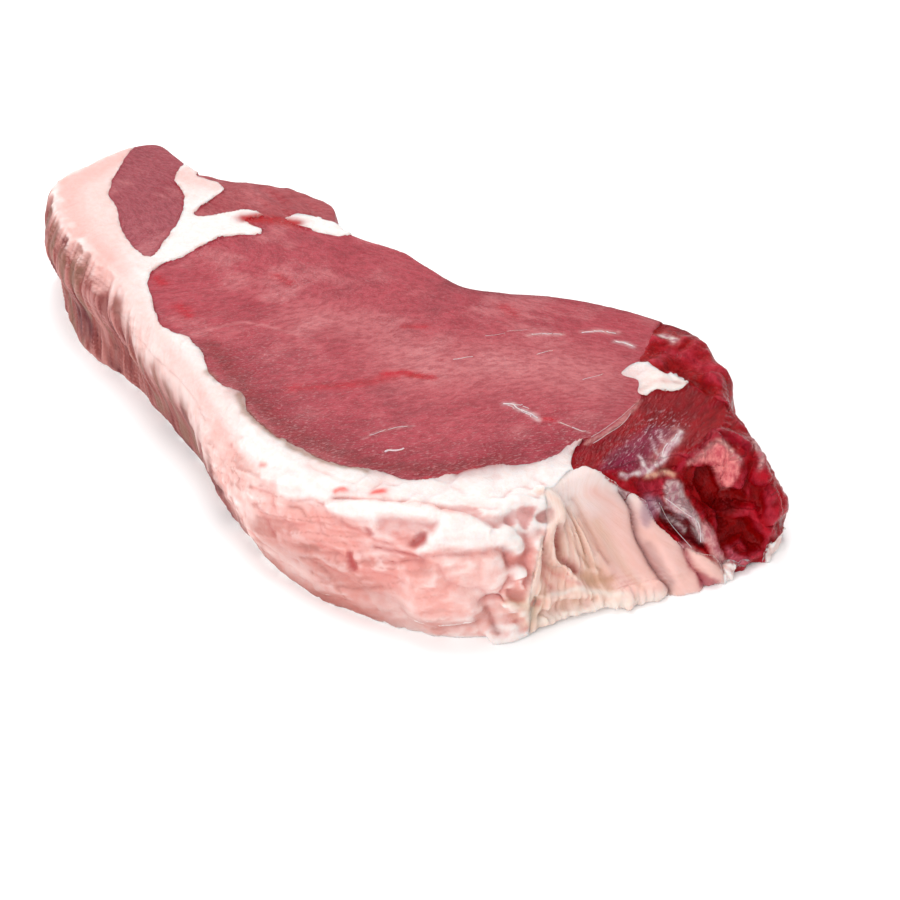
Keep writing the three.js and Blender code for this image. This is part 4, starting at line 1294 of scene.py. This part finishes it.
# %% Paint the fan
turn, fall = fan_place(skin)
hair = noise(np.column_stack([turn / 1.8, fall / 14, 0 * turn]), 1, 46)
fan = fan_and_bands * smoothstep(24 - turn, 0, 10)
colour = mix(colour, "tan", fan * smoothstep(fall, 7, 15) * (0.7 + 0.4 * hair))
# painted shade in the fan's valleys, and painted highlight on its pleats below
colour = mix(colour, "tan shadow", 0.6 * fan * smoothstep(hair + crease, 0.3, 1.2))
colour = mix(colour, "peach", 0.7 * fan * ridge)
# painted shade in the creases of the bands
colour = mix(colour, "rose", 0.4 * (fan_and_bands - fan) * crease)
colour = mix(colour, "white fat", 0.6 * fan_and_bands * smoothstep(up, 22, 32))
colour = mix(colour, "cream", 0.35 * region_is["seam_fat"] * (1 + blotch))

# %% [markdown]
# The cut lean is mottled in bundles of fibres, paler, redder and duller. Close to the fat it is redder,
# and the fat beside it is stained, with a brown line along the seam that is partly a translucent edge
# and partly painted shadow of the fat's raised edge. The torn lean is bright red on its walls, dark in
# its creases, partly as painted shade, rosy on its ridges as painted highlight, and wine to blood red
# on its top.

# %% Paint the lean
def near_lean(points, normals):
    """Close to 1 at a seam between lean and fat on the top, falling to 0 about a millimetre away."""
    near = np.zeros(len(points))
    top = np.flatnonzero(normals[:, 2] > 0.3)
    for name in ("eye_muscle", "tail_muscle", "rib_strip", "end_muscle"):
        share = smoothstep(1.3 - distance_to(points[top, :2], LINES[name], 2.0), 0, 1.2)
        near[top] = np.maximum(near[top], share)
    return near


cut_lean = region_is["eye_muscle"] + region_is["tail_muscle"] + region_is["rib_strip"]
bundles = noise(grain / (3.0, 2.4, 3.0), 1, 49)
colour = mix(colour, "pale lean", 0.5 * cut_lean * smoothstep(blotch + 0.6 * bundles, 0, 1.1))
colour = mix(colour, "red lean", 0.5 * cut_lean * smoothstep(cloud - 0.7 * bundles, 0.1, 1.1))
colour = mix(colour, "dull lean", 0.35 * cut_lean * smoothstep(-cloud - 0.5 * bundles, 0.1, 1.0))
edge = near_lean(skin, facing)
colour = mix(colour, "red lean", 0.55 * lean * edge * smoothstep(blotch, -0.6, 0.4))
colour = mix(colour, "rosy fat", 0.4 * fat * edge * smoothstep(speck + 0.5 * blotch, -0.3, 0.5))
# painted shadow: a brown line in the fat along the seam, partly its translucent edge
colour = mix(colour, "bark", 0.3 * fat * edge ** 2 * smoothstep(second_speck, 0, 0.6))
colour = mix(colour, "bright red", 0.5 * torn * upright * smoothstep(noise(skin, 3, 45), 0, 0.7))
# painted shade in the creases of the torn lean and painted highlight on its ridges
colour = mix(colour, "dark red", 0.85 * torn * upright * crease)
colour = mix(colour, "rosy lean", 0.5 * torn * ridge)
end_top = region_is["end_muscle"] * (1 - upright)
colour = mix(colour, "wine", 0.5 * end_top * smoothstep(blotch + 0.5 * speck, -0.2, 0.8))
colour = mix(colour, "blood", 0.5 * end_top * smoothstep(cloud + 0.5 * second_speck, 0.1, 0.8))

# %% [markdown]
# Last come the marks and the forms, painted in the order of their tables, so a later one covers an
# earlier one. Their places are jittered a little, which frays their edges. Two more fields are kept for
# the materials: how wet a place is, and how thick the pale flecks lie on it. On wet lean the pale
# flecks are painted glints; on the torn end they are its silver film.

# %% Paint the marks and the forms
FRAY = 0.35


def put(colour, kind, soft, shade, strength, corners, place, where):
    """Paints one form's colour at its place, over the points that `where` picks."""
    share = share_of(place[where], kind, 0.8 * soft, corners)
    colour[where] = mix(colour[where], shade, strength * share)


fray = np.column_stack([speck, second_speck]) * FRAY
for mark in TOP_MARKS.values():
    put(colour, "ridge", *mark, skin[:, :2] + fray, facing[:, 2] > 0.5)
for forms, place, where in ((WALL_FORMS, wall + fray, (cap + fan_and_bands) > 0),
                            (END_FORMS, end + fray, (region_is["end_muscle"] + fan_and_bands) > 0)):
    for kind, _, *form in forms.values():
        put(colour, kind, *form, place, where)
colour = np.clip(colour, 0.001, 1)
say("painted")

# %% How wet, and how thick the flecks lie: painted glints on lean, silver film on torn lean
# the outline of the thin silver film over the end's top, as places on the torn end
FILM = [[-18, 9], [-13, 14], [-7, 19], [-1, 21], [3, 18], [-1, 15], [-5, 11], [-9, 8]]

wet = 0.3 + 0.3 * lean * smoothstep(blotch, 0, 1) + 0.25 * crease + 0.3 * end_top - 0.3 * torn * crease
eye_front = TOP_MARKS["front of the eye"][3]
wet += 0.4 * region_is["eye_muscle"] * share_of(skin[:, :2], "ridge", 14, eye_front)
wet = np.clip(wet, 0, 1)
film = share_of(end, "patch", 2.5, FILM) * region_is["end_muscle"]
film = film * (0.5 + 0.5 * smoothstep(cloud + speck, -0.5, 0.6))
# flecks: painted glints where the lean is wet, and the silver film on the torn lean
fleck = np.where(torn > 0, film, wet)
print("wet", wet.mean().round(2), "on average, film over", int((film > 0.5).sum()), "points")

# %% [markdown]
# A mesh can carry values with its points as attributes, and booleans carry them along to the pieces
# that they cut. `kept` is 1 on every point of the skin, so that new points can be told by their lack
# of it.

# %% Keep it with the points of the skin
def store(piece, name, values):
    kind = {1: "FLOAT", 3: "FLOAT_VECTOR", 4: "FLOAT_COLOR"}[values.shape[1] if values.ndim > 1 else 1]
    slot = {"FLOAT": "value", "FLOAT_VECTOR": "vector", "FLOAT_COLOR": "color"}[kind]
    layer = piece.data.attributes.get(name) or piece.data.attributes.new(name, kind, "POINT")
    layer.data.foreach_set(slot, values.astype(np.float32).ravel())


def stored(piece, name, wide):
    values = np.empty(len(piece.data.vertices) * wide, np.float32)
    slot = {1: "value", 3: "vector", 4: "color"}[wide]
    piece.data.attributes[name].data.foreach_get(slot, values)
    return values.reshape(-1, wide) if wide > 1 else values


LAYERS = {
    "paint": np.column_stack([colour, np.ones(len(colour))]), "wet": wet, "fleck": fleck,
    "grain": grain,
}
for name, values in LAYERS.items():
    store(clay, name, values)
store(clay, "kept", np.ones(len(skin)))
say("layers:", list(LAYERS))

# %% [markdown]
# ## Cut the slice into its pieces
# Each outline becomes an upright block, made from a circle whose points are moved on to the outline
# and whose face is extruded upwards. The block's overlap with the slice is one piece, and what is
# left goes on to the next cut. Neighbours then share one seam exactly, with no groove between them.
# A cut makes new points along the seam that carry no paint, so each takes it from the nearest point
# of its own tissue.

# %% Cut the slice into its pieces
BLOCK_FOOT, BLOCK_TOP = -3.0, 40


def upright_block(name):
    line = LINES[name]
    deselect()
    bpy.ops.mesh.primitive_circle_add(vertices=len(line), radius=1, fill_type="NGON")
    block = bpy.context.object
    move_points(block, np.column_stack([line, np.full(len(line), BLOCK_FOOT)]))
    bpy.ops.object.mode_set(mode="EDIT")
    bpy.ops.mesh.select_all(action="SELECT")
    height = (CHINE_FAT_HEIGHT if name == "chine_fat" else BLOCK_TOP) - BLOCK_FOOT
    bpy.ops.mesh.extrude_region_move(TRANSFORM_OT_translate={"value": (0, 0, height * MM)})
    bpy.ops.mesh.select_all(action="SELECT")
    bpy.ops.mesh.normals_make_consistent(inside=False)
    bpy.ops.object.mode_set(mode="OBJECT")
    return block


def copy_of(piece, name):
    only(piece)
    bpy.ops.object.duplicate()
    twin = bpy.context.object
    twin.name = name
    return twin


steak = {}
rest = clay
for name in SEAMS:
    block = upright_block(name)
    steak[name] = copy_of(rest, name + "_meat")
    finish_with(steak[name], "BOOLEAN", operation="INTERSECT", object=block, solver="MANIFOLD")
    finish_with(rest, "BOOLEAN", operation="DIFFERENCE", object=block, solver="MANIFOLD")
    bpy.data.objects.remove(block)
rest.name = "fat_cap_meat"
steak["fat_cap"] = rest
say({name: len(piece.data.polygons) for name, piece in steak.items()})

# %% [markdown]
# Each new point along a seam takes its values from the nearest point of the same tissue. Without this
# the lean would bleed into the fat for half a millimetre.

# %% Paint the new points along the seams
for name, piece in steak.items():
    own = np.flatnonzero(region == PIECES.index(name))
    tree = KDTree(len(own))
    for index in own:
        tree.insert(skin[index], index)
    tree.balance()
    new = np.flatnonzero(stored(piece, "kept", 1) < 0.999)
    nearest = [tree.find(place)[1] for place in points_of(piece)[new]]
    for layer, values in LAYERS.items():
        held = stored(piece, layer, 1 if values.ndim == 1 else values.shape[1])
        held[new] = values[nearest]
        store(piece, layer, held)
    piece.data.attributes.remove(piece.data.attributes["kept"])
    only(piece)
    bpy.ops.object.shade_smooth_by_angle(angle=math.radians(50))
say("seams painted")

# %% [markdown]
# ## Threads of silverskin
# Fine white threads of connective tissue lie on the eye, and two thin strands bridge the plum hollow
# at the torn end. Each is a thin flattened roll. A thread follows the skin under it, and a broken one
# is laid in several short strokes. A strand hangs from one end of its path to the other.

# %% Threads of silverskin
# x and y places on the top, thickness, in how many strokes, how far the strokes stray
THREADS = {
    "squiggle": ([[46.9, 0.9], [48.4, 1.6], [50, 0.8], [52.2, 0.9], [54.4, 0.6], [56.2, -0.2]],
                 0.22, 2, 0.1),
    "squiggle edge": ([[48, 1.2], [50.4, 0.5], [52.6, 0.2], [54.8, -0.4]], 0.12, 3, 0.3),
    "squiggle branch": ([[48.6, 1.6], [50.4, 2.6], [52.6, 2.2]], 0.12, 2, 0.2),
    "back thread": ([[37, 27.4], [39.2, 29.6], [42.4, 32]], 0.16, 3, 0.25),
    "second back thread": ([[45.8, 35.6], [48.7, 38], [52.6, 39.6]], 0.2, 3, 0.25),
    "third back thread": ([[54, 36.2], [56.5, 36.8], [58.6, 36.6]], 0.2, 2, 0.2),
    "fourth back thread": ([[28, 21], [33, 26.6], [36, 29]], 0.07, 2, 0.5),
    "dash": ([[35.5, -28], [37.1, -27], [38.4, -25.4]], 0.26),
    "faint thread": ([[30, -26], [31.3, -22.6], [33, -19.8], [34.6, -17.8]], 0.08, 2, 0.1),
    "thread by the tip": ([[60.6, 2], [64.4, 1.7], [67.2, 2.2]], 0.1, 2, 0.1),
    "bright streak": ([[42, 21], [44, 24.6]], 0.08),
    "streak by the middle": ([[28, 9], [30.6, 12.4]], 0.1),
    "streak by the island": ([[56, 18], [59, 23]], 0.07),
    "web thread": ([[83, 13], [83.2, 10.6], [82.8, 8.4], [83.6, 6]], 0.12, 2, 0.2),
    "seam strand": ([[70.4, -0.4], [71, 4], [71.6, 9], [71.4, 14]], 0.07),
    "second seam strand": ([[69, 1], [69.8, 6], [70.2, 12], [70, 17]], 0.06),
}
# places on the torn end, thickness
STRANDS = {
    "left strand": ([[-5.6, 0.6], [-2.6, -4], [1.6, -8.8]], 0.08),
    "right strand": ([[-4, 1.6], [0.4, -1.6], [2.8, -3.8], [4, -7.6]], 0.1),
}
THREAD_LIFT, STRAND_LIFT = 0.03, 0.3
STROKE_POINTS = 7
top_places = np.where(facing[:, 2:] > 0.5, skin[:, :2], NOWHERE)
chance = np.random.default_rng(5)


def nearest_to(corners, places):
    return [((places - place) ** 2).sum(axis=1).argmin() for place in corners]


# %% Lay the threads and hang the strands
def lay_thread(corners, thick, strokes=1, stray=0.0):
    line = curve_through(corners, STROKE_POINTS * strokes + 1, closed=False)
    rolls = []
    for stroke in range(strokes):
        first = STROKE_POINTS * stroke
        last = first + STROKE_POINTS + (strokes == 1)
        nearest = nearest_to(line[first:last] + stray * chance.uniform(-1, 1, 2), top_places)
        path = skin[nearest] + facing[nearest] * THREAD_LIFT
        path[1:-1] = (path[:-2] + 2 * path[1:-1] + path[2:]) / 4
        size = thick * chance.uniform(0.7, 1.2)
        front = facing[nearest].mean(axis=0)
        rolls.append(roll_of_clay(path, size, 0.7 * size, 0.5, facing=front, sides=6))
    return rolls


def hang_strand(corners, thick):
    nearest = nearest_to(corners, end)
    path = skin[nearest] + facing[nearest] * STRAND_LIFT
    return roll_of_clay(path, thick, thick, 0.6, facing=facing[nearest].mean(axis=0), sides=8)


threads = [roll for thread in THREADS.values() for roll in lay_thread(*thread)]
threads = join(threads + [hang_strand(*strand) for strand in STRANDS.values()], "silver_threads")
only(threads)
bpy.ops.object.shade_smooth()
say("threads:", len(threads.data.polygons), "faces")

# %% [markdown]
# ## Materials
# Raw meat is wet and lets light in a little way. Each finish takes its colour from the paint and
# varies it with fine noise on the grain places, so that the noise lies along the fibres. Darker
# fibres and pale flecks are two sizes of it; on wet lean the pale flecks are painted glints. The same
# noise lifts the surface in bump, which breaks the wet gloss into small glints. Light scatters about a
# millimetre under the surface.

# %% Building materials from nodes
def node(tree, kind, **settings):
    made = tree.nodes.new(kind)
    for key, value in settings.items():
        if key in made.inputs:
            made.inputs[key].default_value = value
        else:
            setattr(made, key, value)
    return made


def meat_finish(name, fibre, deep, dark, pale, bump, scatter, roughness, gloss,
                radius=(1.4, 0.5, 0.35), fleck_colour=(0.6, 0.32, 0.32), glare=(1, 1, 1)):
    """`fibre` is how many fibres fit in a mm of grain place; `dark` says how strongly fibres are
    tinted with the `deep` colour and `pale` how strongly wet flecks are lightened, which on wet lean
    are painted glints."""
    material = bpy.data.materials.new(name)
    material.use_nodes = True
    tree = material.node_tree
    shader = tree.nodes["Principled BSDF"]
    shader.inputs["Subsurface Weight"].default_value = scatter
    shader.inputs["Subsurface Scale"].default_value = MM
    shader.inputs["Subsurface Radius"].default_value = radius
    shader.inputs["Specular IOR Level"].default_value = gloss
    shader.inputs["Specular Tint"].default_value = (*glare, 1)
    link = tree.links.new
    grain = node(tree, "ShaderNodeAttribute", attribute_name="grain")
    colour = node(tree, "ShaderNodeAttribute", attribute_name="paint")
    coarse = node(tree, "ShaderNodeTexNoise", **{"Scale": fibre, "Detail": 3.0, "Roughness": 0.6})
    fine = node(tree, "ShaderNodeTexNoise", **{"Scale": fibre * 2.7, "Detail": 3.0, "Roughness": 0.55})
    link(grain.outputs["Vector"], coarse.inputs["Vector"])
    link(grain.outputs["Vector"], fine.inputs["Vector"])
    shade = node(tree, "ShaderNodeMapRange",
                 **{"From Min": 0.38, "From Max": 0.6, "To Min": dark, "To Max": 0.0})
    link(coarse.outputs["Fac"], shade.inputs["Value"])
    tint = node(tree, "ShaderNodeMix", data_type="RGBA", blend_type="MULTIPLY")
    tint.inputs["B"].default_value = (*deep, 1)
    link(shade.outputs["Result"], tint.inputs[0])
    link(colour.outputs["Color"], tint.inputs["A"])
    fleck = node(tree, "ShaderNodeMapRange",
                 **{"From Min": 0.54, "From Max": 0.74, "To Min": 0.0, "To Max": pale})
    link(fine.outputs["Fac"], fleck.inputs["Value"])
    wet = node(tree, "ShaderNodeAttribute", attribute_name="wet")
    shown = node(tree, "ShaderNodeMath", operation="MULTIPLY")
    link(fleck.outputs["Result"], shown.inputs[0])
    flecks = node(tree, "ShaderNodeAttribute", attribute_name="fleck")
    link(flecks.outputs["Fac"], shown.inputs[1])
    flecked = node(tree, "ShaderNodeMix", data_type="RGBA", blend_type="MIX")
    link(shown.outputs["Value"], flecked.inputs[0])
    link(tint.outputs["Result"], flecked.inputs["A"])
    flecked.inputs["B"].default_value = (*fleck_colour, 1)
    link(flecked.outputs["Result"], shader.inputs["Base Color"])
    dull = node(tree, "ShaderNodeMapRange", **{"To Min": roughness + 0.15, "To Max": roughness - 0.15})
    link(wet.outputs["Fac"], dull.inputs["Value"])
    link(dull.outputs["Result"], shader.inputs["Roughness"])
    both = node(tree, "ShaderNodeMath", operation="ADD")
    link(coarse.outputs["Fac"], both.inputs[0])
    link(fine.outputs["Fac"], both.inputs[1])
    rise = node(tree, "ShaderNodeBump", **{"Strength": 0.7, "Distance": bump * MM})
    link(both.outputs["Value"], rise.inputs["Height"])
    link(rise.outputs["Normal"], shader.inputs["Normal"])
    return material


# %% [markdown]
# Four finishes come from that one recipe. Cut lean is fibrous and flecked with painted glints, fat is
# milky and lets light deep in, sinew is smoother and tan in its depths, and torn lean is the wettest
# and darkest. Threads of silverskin are nearly white and get a simple finish of their own.

# %% The finishes
# pale: painted glints on the wet lean
lean_finish = meat_finish("lean", fibre=0.95, deep=(0.6, 0.28, 0.34), dark=0.66, pale=0.6, bump=0.3,
                          scatter=0.12, roughness=0.42, gloss=0.24, glare=(1, 0.75, 0.8))
fat_finish = meat_finish("fat", fibre=1.1, deep=(1.0, 0.93, 0.91), dark=1.0, pale=0.0, bump=0.2,
                         scatter=0.65, roughness=0.45, gloss=0.3, radius=(2.6, 1.7, 1.4))
sinew_finish = meat_finish("sinew", fibre=1.2, deep=(0.95, 0.86, 0.8), dark=0.5, pale=0.0, bump=0.12,
                           scatter=0.4, roughness=0.4, gloss=0.3, radius=(2.0, 1.2, 0.9))
torn_finish = meat_finish("torn lean", fibre=0.8, deep=(0.62, 0.3, 0.4), dark=0.9, pale=0.66, bump=0.35,
                          scatter=0.12, roughness=0.22, gloss=0.1, fleck_colour=(0.66, 0.46, 0.5),
                          glare=(1, 0.6, 0.66))
silver_finish = bpy.data.materials.new("silverskin")
silver_finish.use_nodes = True
silver_tree = silver_finish.node_tree
silver_shader = silver_tree.nodes["Principled BSDF"]
for socket, value in {"Roughness": 0.35, "Subsurface Weight": 0.3, "Subsurface Scale": MM}.items():
    silver_shader.inputs[socket].default_value = value
silver_where = node(silver_tree, "ShaderNodeTexCoord")
silver_noise = node(silver_tree, "ShaderNodeTexNoise", **{"Scale": 900.0, "Detail": 3.0})
silver_colour = node(silver_tree, "ShaderNodeMix", data_type="RGBA")
silver_colour.inputs["A"].default_value = (0.5, 0.36, 0.37, 1)
silver_colour.inputs["B"].default_value = (0.72, 0.62, 0.64, 1)
silver_tree.links.new(silver_where.outputs["Object"], silver_noise.inputs["Vector"])
silver_tree.links.new(silver_noise.outputs["Fac"], silver_colour.inputs[0])
silver_tree.links.new(silver_colour.outputs["Result"], silver_shader.inputs["Base Color"])
print("finishes:", [finish.name for finish in (lean_finish, fat_finish, sinew_finish, torn_finish)])

# %% [markdown]
# Every piece rides on the one body, stands for the plain solid of its muscle, which is hidden, and
# gets its own finish. The threads stand for nothing and get the silverskin finish.

# %% Dress the pieces
FINISH = {
    "eye_muscle": lean_finish, "tail_muscle": lean_finish, "rib_strip": lean_finish,
    "end_muscle": torn_finish, "back_nodule": torn_finish, "fat_cap": fat_finish,
    "seam_fat": fat_finish, "chine_fat": fat_finish, "sinew_fan": sinew_finish,
}
for name, piece in steak.items():
    piece.data.materials.clear()
    piece.data.materials.append(FINISH[name])
    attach(piece, "root")
    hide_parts(name)
threads.data.materials.clear()
threads.data.materials.append(silver_finish)
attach(threads, "root")
print("dressed:", [*steak, "threads"])

# %% [markdown]
# ## Floor, light and camera
# The steak lies on a white ground. Soft light from above and behind makes its wet top shine a little,
# and a broad light in front keeps the fat there open and pale.

# %% Floor and light
deselect()
bpy.ops.mesh.primitive_plane_add(size=6, location=(0, 0, 0))
floor = bpy.context.object
floor.name = "floor"
floor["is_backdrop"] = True
ground = bpy.data.materials.new("white ground")
ground.use_nodes = True
ground.node_tree.nodes["Principled BSDF"].inputs["Base Color"].default_value = (1, 1, 1, 1)
ground.node_tree.nodes["Principled BSDF"].inputs["Roughness"].default_value = 0.9
floor.data.materials.append(ground)

sky = bpy.data.worlds.new("studio")
sky.use_nodes = True
sky.node_tree.nodes["Background"].inputs["Color"].default_value = (1, 1, 1, 1)
sky.node_tree.nodes["Background"].inputs["Strength"].default_value = 0.75
bpy.context.scene.world = sky
bpy.context.scene.view_settings.view_transform = "Standard"


def soft_light(name, location, size, power, toward=(0, 0, 0.01)):
    """A round area light that faces the steak."""
    deselect()
    bpy.ops.object.light_add(type="AREA", location=location)
    lamp = bpy.context.object
    lamp.name = name
    lamp.data.shape = "DISK"
    lamp.data.size = size
    lamp.data.energy = power
    lamp.rotation_euler = (Vector(toward) - Vector(location)).to_track_quat("-Z", "Y").to_euler()
    return lamp


# name, place in metres, width in metres, power in watts
soft_light("light above", (-0.25, 0.15, 1.1), 0.6, 5.0)
soft_light("light behind", (-0.55, 0.75, 0.7), 0.25, 2.0)
soft_light("light in front", (0.1, -0.9, 0.6), 0.9, 6.5)

# %% [markdown]
# The camera looks down on the steak from the front right. It is placed by how far it is turned and
# tilted and how far it stands from the point that it looks at, as with a tripod.

# %% Camera
CAMERA_TURN, CAMERA_TILT = math.radians(34.5), math.radians(36)
CAMERA_AIM, CAMERA_DISTANCE, CAMERA_ANGLE = Vector((0.02575, 0.0104, 0)), 0.477, math.radians(25)
back = Vector((math.sin(CAMERA_TURN) * math.cos(CAMERA_TILT),
               -math.cos(CAMERA_TURN) * math.cos(CAMERA_TILT), math.sin(CAMERA_TILT)))
bpy.ops.object.camera_add(location=CAMERA_AIM + back * CAMERA_DISTANCE)
camera = bpy.context.object
camera.rotation_euler = back.to_track_quat("Z", "Y").to_euler()
camera.data.lens_unit = "FOV"
camera.data.angle = CAMERA_ANGLE
camera.data.clip_start = 0.01
bpy.context.scene.camera = camera
print("camera at", [round(value, 3) for value in camera.location], "m")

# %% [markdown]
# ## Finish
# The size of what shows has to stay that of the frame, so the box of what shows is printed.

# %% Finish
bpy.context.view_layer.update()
say("box:", [[round(v * 1000, 1) for v in c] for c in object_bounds()])
